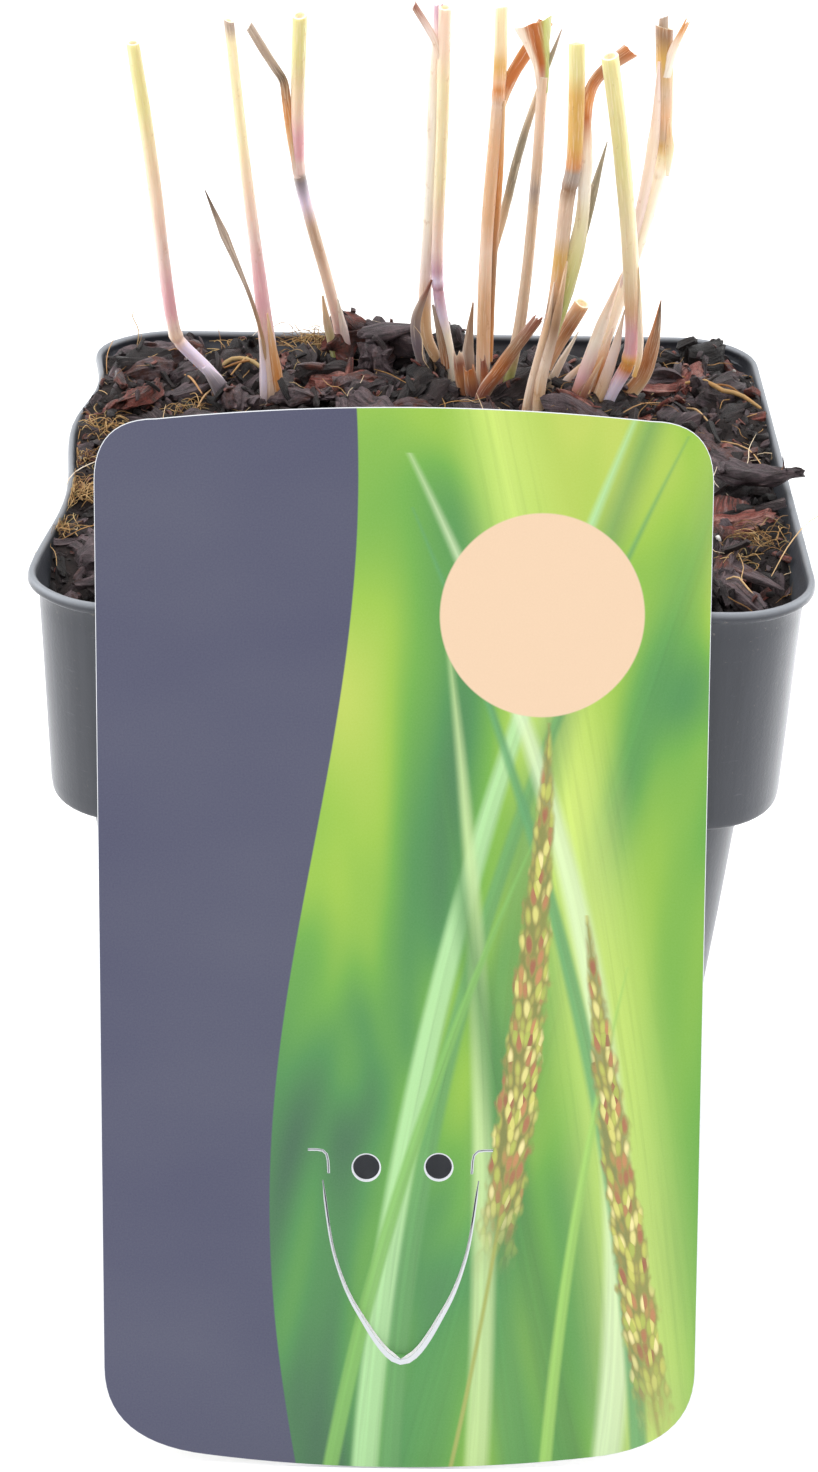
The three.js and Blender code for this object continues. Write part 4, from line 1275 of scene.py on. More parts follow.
# Dry sheaths and leaves in the same way: widths, turn about the path, cup across and kind of tip.
blades = {
    "1": [
        {"path": [(-25, 19.2, 91), (-26.4, 18.5, 95.4), (-28.9, 18.1, 99.6)],
         "widths": [2.9, 2.7, 0.9], "cup": 150, "tones": "92 dusk, 96 dusk, 98 slateGrey, 99.6 lilac"},
    ],
    "2": [
        {"path": [(-20.7, 19.4, 98), (-21.2, 18.6, 103), (-22.6, 17.8, 109), (-25.1, 17, 116),
                  (-28, 15, 124.3)],
         "widths": [0.5, 0.5, 0.6, 1.15, 0.12], "turns": [0, 20], "cup": 110,
         "tones": "98 tan, 106 brown, 112 greyBrown, 119 greyBrown, 123 darkBrown"},
        {"path": [(-19, 19.4, 91), (-19.5, 18.9, 97.5), (-20.6, 18.4, 107)],
         "widths": [1.7, 1.6, 0.2], "cup": 120, "tones": "92 brown, 98 amber, 106 tan"},
        {"path": [(-21.4, 19.2, 92), (-21.2, 18.9, 97.5), (-21.6, 18.7, 103.5)],
         "widths": [1.0, 1.2, 0.2], "cup": 130, "tones": "92 blush, 98 lilac, 103 blush"},
    ],
    "3": [
        {"path": [(-16.9, 28, 122), (-17.7, 26.6, 128.5), (-18.2, 25.5, 133), (-18.45, 24.9, 135.3),
                  (-18.75, 24.6, 136.1), (-19.6, 24.2, 137.5), (-22.6, 23, 142.9)],
         "widths": [1.2, 1.3, 1.4, 1.2, 1.1, 1.2, 1.1], "turns": [0, 25], "cup": 90, "tip": "cut",
         "tones": "122 blush, 126 tan, 131 amber, 134.6 brown, 136 darkBrown, 138 greyBrown, "
                  "142.9 greyBrown"},
        {"path": [(-12.4, 35, 95), (-13.4, 33.6, 100), (-14, 32.4, 104.6)],
         "widths": [1.2, 1.2, 0.3], "cup": 120, "tones": "95 leafGreen, 100 sand, 103 tan"},
        {"path": [(-10.6, 34.6, 95), (-11.2, 34, 99), (-12, 33, 104)],
         "widths": [1.2, 1.1, 0.2], "cup": 120, "tones": "95 rose, 99 blush, 103 cream"},
    ],
    "4": [
        {"path": [(2.2, 25.6, 88), (1.3, 25.4, 98), (-0.1, 25.1, 101.7), (-0.3, 24.6, 108),
                  (0.2, 23.6, 120.6), (0.45, 22.6, 134), (0.9, 21.8, 143), (0.9, 21.5, 146.2)],
         "widths": [1.2, 1.4, 1.7, 1.6, 1.7, 1.7, 1.5, 1.2], "cup": 150, "tip": "ragged",
         "tones": "90 brown, 105 tan, 110 blush, 118 cream, 132 cream, 139 peach, 142 blush, 145 plum"},
        {"path": [(1.2, 21.4, 139.5), (0.4, 21.2, 142), (-2.1, 20.8, 146.3)],
         "widths": [0.7, 1.0, 0.9], "turns": [0, 30], "cup": 60, "tip": "cut",
         "tones": "140.5 peach, 143 blush, 146 redBrown"},
        {"path": [(2.6, 24.2, 97.5), (1.9, 24, 102), (0.7, 24, 106.5)],
         "widths": [1.1, 1.3, 0.3], "cup": 110, "tones": "96 rust, 101 brown, 105 greyBrown"},
        {"path": [(0.8, 24.3, 95), (-0.8, 24.3, 99), (-1.5, 24.1, 104), (0.5, 23.6, 110)],
         "widths": [1.1, 1.4, 1.3, 0.3], "cup": 110,
         "tones": "96 darkBrown, 101 dusk, 106 greyBrown, 109 redBrown"},
    ],
    "5": [
        {"path": [(8.6, 20.8, 133.5), (9.9, 21.4, 136.8), (14.4, 23, 143.9)],
         "widths": [1.6, 1.7, 2.1], "turns": [0, 20], "cup": 60, "tip": "cut",
         "tones": "134.5 tan, 136.4 rust, 143 rust"},
        {"path": [(8.2, 20.4, 100), (8.3, 20.5, 112), (8.9, 20.8, 125), (9.2, 20.8, 134.5)],
         "widths": [0.9, 1.1, 1.1, 0.6], "cup": 130, "tones": "100 amber, 112 brown, 125 amber, 134 tan"},
        {"path": [(6, 19.6, 94), (5.4, 19.4, 101.5), (5.9, 19.4, 108.5)],
         "widths": [1.5, 1.6, 0.2], "cup": 120, "tones": "96 redBrown, 101 greyBrown, 107 brown"},
        {"path": [(6, 18.4, 94), (4.7, 17.8, 98), (4, 17.6, 102.2)],
         "widths": [1.7, 1.8, 1.2], "cup": 130, "tip": "ragged",
         "tones": "95 redBrown, 98.4 chestnut, 101 redBrown, 102 fawn"},
        {"path": [(7, 17.4, 94), (6, 17, 97.4), (5.5, 16.9, 100.4)],
         "widths": [1.9, 2, 1.4], "cup": 140, "tip": "ragged",
         "tones": "94 darkBrown, 97 redBrown, 99 chestnut, 100.4 rust"},
        {"path": [(8, 17.4, 94), (7.7, 17, 98), (7.3, 16.9, 101.6)],
         "widths": [1.4, 1.5, 0.7], "cup": 140, "tip": "ragged",
         "tones": "94 darkBrown, 97.6 rust, 101 redBrown"},
        {"path": [(9, 17.8, 94), (9.3, 17.4, 97.4), (9.6, 17.2, 100)],
         "widths": [1.7, 1.6, 0.9], "cup": 140, "tip": "ragged",
         "tones": "94 redBrown, 97.6 rose, 99.6 rust"},
    ],
    "6": [
        {"path": [(13.9, 16.8, 136.6), (13.6, 16.7, 140.5), (13.0, 16.5, 142.8), (12.4, 16.4, 145.3)],
         "widths": [1.3, 1.9, 3.0, 4.9], "cup": 30, "tip": "cut", "left": "peach", "right": "leafGreen",
         "fold": 0.7,
         "tones": "137 blush, 140 rust, 145 rust"},
        {"path": [(13.9, 17.1, 138.5), (14.9, 17, 141.3), (16, 17, 144.5)],
         "widths": [0.7, 0.6, 0.15], "cup": 60, "tones": "138.5 leafGreen, 141 greyGreen, 144 greyBrown"},
        {"path": [(13.5, 17.4, 137), (11.4, 20.5, 128.3), (9.7, 23.4, 119), (8.2, 24.6, 112),
                  (7.8, 24, 104)],
         "widths": [0.7, 1.1, 1.2, 1.1, 0.9], "cup": 90,
         "tones": "104 amber, 112 tan, 118 sand, 123 greyGreen, 130 greyGreen, 135 sand"},
    ],
    "7": [
        {"path": [(14.9, 12.8, 102), (17.8, 12.2, 114), (19, 11.9, 121), (19.4, 11.7, 129),
                  (19.4, 11.6, 134), (19.5, 11.6, 137), (20.2, 11.9, 139.2), (22.3, 12.3, 141.4),
                  (24.4, 12.4, 143)],
         "widths": [0.8, 1.5, 2, 2.1, 1.6, 1.7, 1.9, 1.9, 2.2], "turns": [0, 0, 0, 0, 0, 10, 40, 30, 10],
         "cup": 100, "tip": "cut",
         "tones": "102 tan, 110 leafGreen, 117 yellowGreen, 122 paleYellow, 126 cream, 131 peach, "
                  "135 rust, 137 amber, 139 rust, 141.4 brown, 143 rust"},
        {"path": [(17.6, 13, 113.5), (19.7, 13.6, 120.8), (20.7, 14, 125.8), (22, 14.4, 131.3)],
         "widths": [0.6, 1.1, 1.1, 0.15], "cup": 80,
         "tones": "113 leafGreen, 118 olive, 125 greyGreen, 130 greyGreen"},
        {"path": [(14.4, 11.8, 95), (14.6, 11.6, 100), (16.2, 11.4, 108), (17.4, 10.9, 117)],
         "widths": [1.6, 1.5, 1.1, 0.2], "cup": 130,
         "tones": "95 fawn, 99 tan, 103 peach, 108 brown, 114 tan"},
        {"path": [(12.6, 12.2, 95), (13.4, 12, 100), (15.2, 11.8, 108), (15.9, 11.6, 114)],
         "widths": [1.0, 1.0, 0.8, 0.15], "cup": 130, "tones": "95 tan, 100 peach, 108 tan, 113 peach"},
    ],
    "8": [
        {"path": [(21, 14.6, 94), (22.4, 14.2, 98), (24, 13.6, 104), (25, 13, 110)],
         "widths": [1.6, 1.6, 1.2, 0.15], "cup": 120, "tones": "94 rust, 98 tan, 103 blush, 108 peach"},
        {"path": [(26.6, 13, 101), (27.2, 12.7, 104), (26.9, 12.4, 110), (26.5, 12, 116)],
         "widths": [0.6, 0.8, 0.6, 0.1], "cup": 120, "tones": "101 node, 105 peach, 115 straw"},
    ],
    "9": [
        {"path": [(24.4, 16.2, 110), (26.6, 15.8, 121.8), (27.9, 15.7, 132), (28, 15.7, 141)],
         "widths": [0.7, 1.3, 1.5, 0.3], "cup": 110,
         "tones": "112 blush, 122 blush, 130 peach, 140 blush"},
        {"path": [(29.8, 15.8, 126.6), (29.9, 15.6, 129.4), (29.6, 15.5, 134)],
         "widths": [0.5, 1.2, 0.2], "cup": 120, "tones": "126 cream, 129 paleYellow, 132 tan"},
        {"path": [(28.4, 16.6, 143.6), (28.4, 16.6, 146.2)],
         "widths": [1.3, 1.1], "cup": 60, "tip": "cut", "tones": "143 sand, 145 greyBrown"},
        {"path": [(28.9, 15.8, 139), (29.6, 15.6, 142.2), (31.2, 15.2, 146)],
         "widths": [1.3, 1.1, 0.8], "turns": [0, 30], "cup": 70, "tip": "ragged",
         "tones": "140 cream, 143 peach, 145 amber"},
        {"path": [(20.7, 15.4, 93), (21.8, 15, 99), (23.7, 14.6, 107)],
         "widths": [1.7, 1.8, 0.3], "cup": 120, "tones": "93 redBrown, 98 rust, 101 amber, 106 peach"},
        {"path": [(18.4, 15.4, 93), (20, 15, 99), (22, 15, 106), (24.6, 15.4, 114)],
         "widths": [1.7, 1.8, 1.5, 0.2], "cup": 120,
         "tones": "93 redBrown, 97 rust, 100 rose, 105 cream, 111 peach"},
        {"path": [(19.4, 14, 94), (20.6, 13.6, 98.5), (22.6, 13.4, 103.5)],
         "widths": [1.2, 1.2, 0.2], "cup": 120, "tones": "94 rust, 98 redBrown, 103 tan"},
    ],
    "Stub": [
        {"path": [(15.6, 20.6, 95), (17.2, 19.6, 99.6), (19.6, 18.6, 105)],
         "widths": [1.2, 1, 0.2], "cup": 110, "tones": "95 cream, 99 peach, 104 cream"},
        {"path": [(16.4, 19.4, 94), (18.6, 18.4, 98.6), (21.4, 18, 102)],
         "widths": [1.2, 1.1, 0.2], "cup": 110, "tones": "94 brown, 98 blush, 101 tan"},
    ],
    "LeafRight": [
        {"path": [(25.4, 17.6, 84), (26, 17, 96), (28.1, 16.4, 100), (29.2, 16, 105),
                  (29.8, 15.8, 110.4)],
         "widths": [1.6, 1.8, 2.2, 1.9, 0.15], "cup": 70, "left": "chestnut",
         "tones": "92 peach, 97 tan, 101 chestnut, 106 brown, 109 darkBrown"},
    ],
    "LeafMiddle": [
        {"path": [(6.6, 15.6, 92), (7.6, 15.2, 97.4), (9.4, 14.6, 100.4), (11.4, 14.4, 103.6),
                  (14.4, 14.6, 108)],
         "widths": [1.6, 1.9, 2.2, 2.1, 1.6], "turns": [0, 10, 20, 30, 20], "cup": 130, "tip": "ragged",
         "right": "brown",
         "tones": "92 darkBrown, 97 redBrown, 101 rust, 104 brown, 107 redBrown"},
    ],
}
stemNodes = {
    "Stub": "stem_stub",
    "LeafRight": "dry_leaf_right",
    "LeafMiddle": "dry_leaf_middle",
}

reed = {
    "sides": 20,
    "ringGap": 0.9,
    "jointReach": 1.8,  # of the closer rings to both sides of a joint
    "jointGap": 0.2,
    "groove": (0.9, 0.25, 0.07),  # below a joint: how far, how wide and how deep
    "swellWidth": 0.6,
    "unround": 0.05,
    "wall": 0.32,  # of the hollow seen at a cut end
    "hollow": 0.5,
    "cutReach": 2.5,  # how far below its end a slanting cut starts to draw the rings
    "bladeThickness": 0.2,
    "bladeColumns": 11,
    "bladeStep": 0.7,
    "thinning": 0.75,  # of a blade towards its edges
    "tipStart": 0.8,  # of a ragged or cut tip, as a share of the length
    "seeds": (3.7, 7.3, 2.1),  # apart from culm to culm, stem to stem and blade to blade
}


# The colours at some heights, between tones that are each written as a height and a hue.
def tonesAt(tones, heights):
    stops = [tone.split() for tone in tones.split(", ")]
    places = [float(height) for height, _ in stops]
    colours = np.array([hues[name] for _, name in stops])
    return np.stack([np.interp(heights, places, colours[:, k]) for k in range(3)], -1)


def addCulm(heap, culm, seed):
    length = smoothPath(culm["path"], [0, 1])[1]
    shares = set(np.linspace(0, 1, round(length / reed["ringGap"])))
    if "joint" in culm:
        reach, gap = reed["jointReach"], reed["jointGap"]
        shares |= {culm["joint"] + offset / length for offset in np.arange(-reach, reach + gap / 2, gap)}
    shares = np.array(sorted(shares))
    path = smoothPath(culm["path"], shares)[0]
    along, across, through = bladeFrames(path, np.zeros(len(shares)))
    distance = shares * length
    radius = between(culm["radius"], shares)
    if "joint" in culm:
        near = distance - culm["joint"] * length
        below, width, depth = reed["groove"]
        radius = radius + culm["swell"] * np.exp(-(near / reed["swellWidth"]) ** 2)
        radius = radius - depth * np.exp(-((near + below) / width) ** 2)
    # Each ring's place on the path, radius, drop and colour. The last rings go into the cut end.
    last, top, wall = len(shares) - 1, radius[-1], reed["wall"]
    rows = [(k, radius[k], 0, tone) for k, tone in enumerate(tonesAt(culm["tones"], path[:, 2]))]
    rows += [(last, top - 0.06, 0, hues["pith"]), (last, top - wall, 0.02, hues["pith"]),
             (last, top - wall - 0.06, 0.3, hues["straw"]), (last, 0.12, reed["hollow"], hues["tan"])]
    tilt, side = (math.radians(angle) for angle in culm["cut"])
    points, grain, tones = [], [], []
    for k, size, drop, tone in rows:
        slope = math.tan(tilt) * max(0, 1 - (length - distance[k]) / reed["cutReach"])
        for angle in anglesOf(reed["sides"]):
            x, y = math.cos(angle), math.sin(angle)
            reach = size * (1 + reed["unround"] * rough((4 * x, 4 * y, distance[k] * 0.4), 2.5, seed))
            rise = slope * size * math.cos(angle - side) - drop
            points.append(path[k] + reach * (across[k] * x + through[k] * y) + along[k] * rise)
            grain.append((size * x, size * y, distance[k] + seed))
            tones.append(tone)
    addTo(heap, points, skin(len(rows), reed["sides"]), hue=tones, grain=grain)


def addBlade(heap, blade, seed):
    length = smoothPath(blade["path"], [0, 1])[1]
    steps = max(8, round(length / reed["bladeStep"]))
    shares = np.linspace(0, 1, steps)
    path = smoothPath(blade["path"], shares)[0]
    along, across, through = bladeFrames(path, between(blade.get("turns", [0]), shares))
    widths = between(blade["widths"], shares)
    half = math.radians(blade["cup"]) / 2
    columns, thick, start = reed["bladeColumns"], reed["bladeThickness"] / 2, reed["tipStart"]
    tones = tonesAt(blade["tones"], path[:, 2])
    points, grain, hue = [], [], []
    for k, row, i in product(range(steps), (-1, 1), range(columns)):
        share, place = shares[k], shares[k] * length
        u = row * (1 - 2 * i / (columns - 1))  # across the blade, from -1 to 1
        arc = widths[k] / 2 / math.sin(half)
        deep = arc * (1 - math.cos(u * half)) + 0.05 * rough((u * 3, place * 0.25, 0), 1, seed)
        deep += blade.get("fold", 0) * (abs(2 * abs(u) - 0.9) - 0.5) * share
        deep += row * thick * (1 - reed["thinning"] * u ** 2)
        edge = 1 + 0.06 * rough((u * 2, place * 0.5, 5), 1, seed)
        run = {
            "ragged": 1.2 * rough((u * 3, 0, 9), 0.8, seed),
            "cut": 0.25 * u + 0.12 * rough((u * 4, 0, 9), 0.8, seed),
        }.get(blade.get("tip"), 0) * max(0, share - start) / (1 - start)
        points.append(path[k] + across[k] * arc * math.sin(u * half) * edge + through[k] * deep
                      + along[k] * run)
        grain.append((u * widths[k] / 2, row * 0.1, place + seed))
        tone = tones[k]
        for name, way in (("left", -1), ("right", 1)):
            if name in blade:
                mixed = clamped((u * way - 0.35) / 0.15)
                tone = tone * (1 - mixed) + np.array(hues[blade[name]]) * mixed
        hue.append(tone)
    addTo(heap, points, skin(steps, 2 * columns, flat=True), hue=hue, grain=grain)


def reedMaterial(name, streak, roughness, **values):
    material, tree, shader = newMaterial(name, Roughness=roughness, IOR=1.45, **values)
    grain = attributeOf(tree, "grain", "Vector")
    hue = attributeOf(tree, "hue", "Vector")
    broad = noiseOf(tree, grain, (1.6, 1.6, 0.09), 3, 0.6)
    fine = noiseOf(tree, grain, (6.0, 6.0, 0.22), 3, 0.65)
    blotch = noiseOf(tree, grain, (1.1, 1.1, 0.7), 4, 0.65)
    deep = mixColour(tree, 1.0, hue, (0.7, 0.55, 0.45), "MULTIPLY")
    pale = mixColour(tree, 0.4, hue, hues["cream"])
    body = tinted(tree, hue, deep, broad, 0.5, 0.68, streak)
    body = tinted(tree, body, pale, fine, 0.52, 0.66, 0.8)
    body = tinted(tree, body, deep, blotch, 0.6, 0.74, 0.55)
    wear(tree, shader, body, normal=bump(tree, fine, 0.06, 0.6))
    return material


# The light that passes through is a little warmer than the skin.
culmFinish = reedMaterial("culmSkin", 0.3, 0.42, Subsurface_Weight=0.5, Subsurface_Scale=0.0015,
                          Subsurface_Radius=(1, 0.85, 0.7), Sheen_Weight=0.3)
bladeFinish = reedMaterial("dryBlade", 0.6, 0.58, Subsurface_Weight=0.25, Subsurface_Scale=0.001,
                           Subsurface_Radius=(1, 0.85, 0.7), Sheen_Weight=0.2)
culmSeed, stemSeed, bladeSeed = reed["seeds"]
for number, (name, sheaths) in enumerate(blades.items()):
    node = stemNodes.get(name, f"stem_{name}")
    bladeHeap = newHeap()
    for count, blade in enumerate(sheaths):
        addBlade(bladeHeap, blade, stemSeed * number + bladeSeed * count)
    bladePiece = pieceOf(f"dryBlades{name}", bladeHeap, [bladeFinish], smooth=60)
    if name in culms:
        culmHeap = newHeap()
        addCulm(culmHeap, culms[name], culmSeed * number)
        settle(pieceOf(f"culm{name}", culmHeap, [culmFinish], smooth=50), "culm", node)
        settle(bladePiece, "dry_leaf")
    else:
        settle(bladePiece, "dry_leaf", node)
print("stems made")


# Printed card

card = {
    "half": 34.3,
    "height": 123,
    "thickness": 0.45,
    "printDepth": 0.13,  # of the white core's edge behind the print's
    "middle": -1.4,
    "foot": -78.2,
    "lean": 18.9,
    "turn": 0.45,
    "topCorner": 7,
    "bottomCorner": 12,
    "topBow": 1.4,
    "bottomBow": 2.8,
    "holes": [(-3.9, 36.3), (4.4, 36.4)],
    "holeRadius": 1.52,
    "holeRim": 0.18,
    "tongue": [(-8.9, 34.8), (-7.4, 25.5), (-4.8, 19.2), (0.3, 13.2), (5, 19.2), (7.5, 25.5), (9, 34.8)],
    "tongueDrop": 1.0,  # of the tongue's tip, pushed back out of the card
    "tongueBare": (0.14, 0.4, 0.53, 0.19),  # white below its cut: least, more at the tip, place, spread
    "hinge": 37,
    "notch": [(10.6, 38.4), (9.6, 38.4), (8.9, 38.3), (8.45, 37.85), (8.28, 37.1), (8.2, 35.6)],
    "cut": 0.07,  # half the width of a cut
    "notchCut": 0.04,
    "notchRim": 0.15,
    "rim": 0.09,  # white edge round the print
    "grid": 3.4,
    "clear": 0.7,  # between the grid's points and every edge
    "bow": 0.25,
    "cornerSteps": (14, 12),  # at the foot and at the top
    "bowSteps": 30,
    "sideSteps": 34,
}


def quadratic(start, control, end, steps):
    t = np.linspace(0, 1, steps, endpoint=False)[:, None]
    a, b, c = (np.array(p, float) for p in (start, control, end))
    return (1 - t) ** 2 * a + 2 * t * (1 - t) * b + t ** 2 * c


# The card's outline, from the left side round by the foot.
def cardOutline():
    s, foot, half = card["half"], card["bottomCorner"], card["bottomBow"] / 2
    top = card["height"] - card["topBow"]
    shoulder, inner = top - card["topCorner"], s - card["topCorner"]
    (low, high), long, side = card["cornerSteps"], card["bowSteps"], card["sideSteps"]
    return np.vstack([
        quadratic((-s, foot), (-s, 2 * half), (foot - s, half), low),
        quadratic((foot - s, half), (0, -half), (s - foot, half), long),
        quadratic((s - foot, half), (s, 2 * half), (s, foot), low),
        np.linspace((s, foot), (s, shoulder), side, endpoint=False),
        quadratic((s, shoulder), (s, top), (inner, top), high),
        quadratic((inner, top), (0, top + 2 * card["topBow"]), (-inner, top), long),
        quadratic((-inner, top), (-s, top), (-s, shoulder), high),
        np.linspace((-s, shoulder), (-s, foot), side, endpoint=False),
    ])


def leftOf(way):
    return np.stack([-way[:, 1], way[:, 0]], 1)


# A loop round a line, so wide on its left and on its right at each point.
def loopRound(line, left, right):
    line = np.asarray(line, float)
    side = leftOf(unit(np.gradient(line, axis=0)))
    left, right = (np.broadcast_to(width, len(line))[:, None] for width in (left, right))
    return np.vstack([line + side * left, (line - side * right)[::-1]])


# A closed loop moved to its left by an amount.
def moved(loop, amount):
    way = unit(np.roll(loop, -1, 0) - loop) + unit(loop - np.roll(loop, 1, 0))
    return loop + leftOf(unit(way)) * amount


def inLoop(point, loop):
    x, y = point
    after = np.roll(loop, -1, 0)
    crossing = (loop[:, 1] > y) != (after[:, 1] > y)
    a, b = loop[crossing], after[crossing]
    place = (b[:, 0] - a[:, 0]) * (y - a[:, 1]) / (b[:, 1] - a[:, 1]) + a[:, 0]
    return np.count_nonzero(x < place) % 2 == 1


# Pairs of loops, the cut edge and the edge of the print: the outline first, then every opening.
def cardLoops():
    outline = cardOutline()
    pairs = [(outline, moved(outline, card["rim"]))]
    circle = np.linspace(0, -2 * math.pi, 36, endpoint=False)
    for x, y in card["holes"]:
        pairs.append(tuple(np.stack([x + r * np.cos(circle), y + r * np.sin(circle)], 1)
                           for r in (card["holeRadius"], card["holeRadius"] + card["holeRim"])))
    shares = np.linspace(0, 1, 61)
    line = tongueLine(shares)
    taper = np.clip(np.minimum(shares, 1 - shares) * 25, 0.3, 1)
    least, more, place, spread = card["tongueBare"]
    bare = least + more * np.exp(-((shares - place) / spread) ** 2)
    gap = card["cut"] * taper
    pairs.append((loopRound(line, gap, gap), loopRound(line, gap + 0.05, gap + bare * taper)))
    for side in (-1, 1):
        notch = [(side * x, y) for x, y in card["notch"]][::side]
        widths = (card["notchCut"], card["notchRim"])
        pairs.append(tuple(loopRound(notch, width, width) for width in widths))
    return pairs


def tongueLine(shares):
    return smoothPath([(x, y, 0) for x, y in card["tongue"]], shares)[0][:, :2]


# A flat net of triangles between the first loop and the others, over points inside. Faces turn
# to the front.
def filled(loops, inner):
    points = np.vstack([*loops, inner])
    edges, first = [], 0
    for loop in loops:
        edges += [(first + i, first + (i + 1) % len(loop)) for i in range(len(loop))]
        first += len(loop)
    faces = geometry.delaunay_2d_cdt([Vector(p) for p in points], edges, [], 0, 1e-7)[2]
    kept = []
    for face in faces:
        a, b, c = points[list(face)]
        if sum(inLoop((a + b + c) / 3, loop) for loop in loops) % 2:
            turn = (b[0] - a[0]) * (c[1] - a[1]) - (b[1] - a[1]) * (c[0] - a[0])
            kept.append(tuple(face) if turn > 0 else tuple(face)[::-1])
    return points, kept


# Points in staggered rows between the loops.
def gridPoints(loops):
    s, size = card["half"], card["grid"]
    heights = enumerate(np.arange(1, card["height"], size * 0.87))
    rows = [(x + row % 2 * size / 2, y) for row, y in heights for x in np.arange(-s + 1, s, size)]
    every = np.vstack(loops)
    return np.array([p for p in rows if np.min(np.linalg.norm(every - p, axis=1)) > card["clear"]
                     and inLoop(p, loops[0]) and not any(inLoop(p, loop) for loop in loops[1:])])


# The card lies flat while its print, walls and back are joined, and then takes its place.
def makeCard():
    walls, prints = zip(*cardLoops())
    hinge, height = card["hinge"], card["height"]
    tongue = tongueLine(np.linspace(0, 1, 40))
    flap = np.vstack([tongue, [(9, hinge), (-9, hinge)]])
    tip = min(y for _, y in card["tongue"])
    inner = gridPoints(prints)
    front, frontFaces = filled(prints, inner)
    back, backFaces = filled(walls, inner)

    def layer(points, depth):
        rows = []
        for x, y in points:
            bend = card["bow"] * (1 - (x / card["half"]) ** 2) * math.sin(math.pi * y / height)
            share = (hinge - y) / (hinge - tip)
            inside = share > 0 and inLoop((x, y), flap)
            rows.append((x, y, bend - (card["tongueDrop"] * share ** 2 if inside else 0) - depth))
        return rows

    layers = [layer(front, 0), layer(np.vstack(walls), card["printDepth"]), layer(back, card["thickness"])]
    starts = (0, len(layers[0]), len(layers[0]) + len(layers[1]))
    faces = list(frontFaces) + [tuple(starts[2] + i for i in face[::-1]) for face in backFaces]
    kinds = [0] * len(frontFaces) + [2] * len(backFaces)
    first = 0
    for wall in walls:
        for i in range(len(wall)):
            a, b = first + i, first + (i + 1) % len(wall)
            for low, high in ((starts[1], starts[0]), (starts[2], starts[1])):
                faces.append((low + a, low + b, high + b, high + a))
                kinds.append(1)
        first += len(wall)
    flat = np.vstack(layers)
    uvs = [(flat[i][0] / height + 0.5, flat[i][1] / height) for face in faces for i in face]
    lean, turn = (math.radians(card[key]) for key in ("lean", "turn"))
    stand = Matrix.Rotation(math.pi / 2 - lean, 3, "X") @ Matrix.Rotation(turn, 3, "Z")
    points = flat @ np.array(stand).T + (card["middle"], card["foot"], card["thickness"] * math.sin(lean))
    piece = makePiece("printedCard", points, faces, cardMaterials(), uvs, kinds, smooth=30)
    settle(piece, "printed_card", "label")


cardPrint = {
    "slate": [(0.3, paint(58, 60, 88)), (0.7, paint(68, 70, 93))],
    "greens": [(0.0, paint(44, 84, 62)), (0.22, paint(62, 128, 62)), (0.45, paint(96, 156, 50)),
               (0.68, paint(138, 178, 50)), (1.0, paint(172, 190, 76))],
    "sun": paint(219, 189, 158),
    "sunPlace": (15.5, 100),
    "sunRadius": 11.4,
    "edge": (-10, -5),  # of the slate side: its place across the card, and its wave
    # Foot, lean, bend, half width, softness, lowest and highest point, colour and strength.
    "blades": [
        (2, 30, 6, 3.6, 3.0, -30, 150, paint(70, 140, 70), 0.55),
        (30, -12, -8, 5.0, 4.0, -30, 170, paint(214, 232, 120), 0.6),
        (14, -20, 34, 2.6, 1.8, -20, 150, paint(60, 128, 74), 0.6),
        (-4, 8, 22, 1.5, 0.5, -20, 128, paint(168, 212, 150), 0.9),
        (-1, 4, 30, 1.1, 0.4, -20, 120, paint(92, 152, 84), 0.85),
        (24, 14, -40, 1.6, 0.7, -20, 118, paint(206, 226, 180), 0.8),
        (28, -6, -26, 1.0, 0.4, -20, 112, paint(84, 150, 92), 0.85),
        (9, 6, -14, 1.3, 0.6, -20, 98, paint(190, 216, 150), 0.8),
        (20, -26, 4, 2.2, 1.4, -20, 84, paint(64, 126, 58), 0.75),
        (-8, 22, 26, 0.9, 0.3, -20, 76, paint(120, 176, 84), 0.9),
        (17, 8, 20, 0.7, 0.3, -20, 60, paint(150, 196, 92), 0.85),
    ],
    # Foot, lean and bend of a stalk, the half width of its grains, and their lowest and highest point.
    "grains": [(6, 26, -16, 2.3, 22, 88), (31, -22, 6, 2.2, 2, 66)],
    "grainTones": [(0.0, paint(142, 84, 58)), (0.26, paint(182, 128, 80)), (0.33, paint(158, 170, 72)),
                   (0.7, paint(194, 192, 92)), (1.0, paint(226, 214, 150))],
    "husk": paint(142, 134, 66),
    "chaff": paint(122, 118, 56),
    "stalk": paint(150, 160, 80),
    "core": paint(200, 203, 208),
    "back": (paint(226, 226, 220), paint(242, 242, 238)),
}


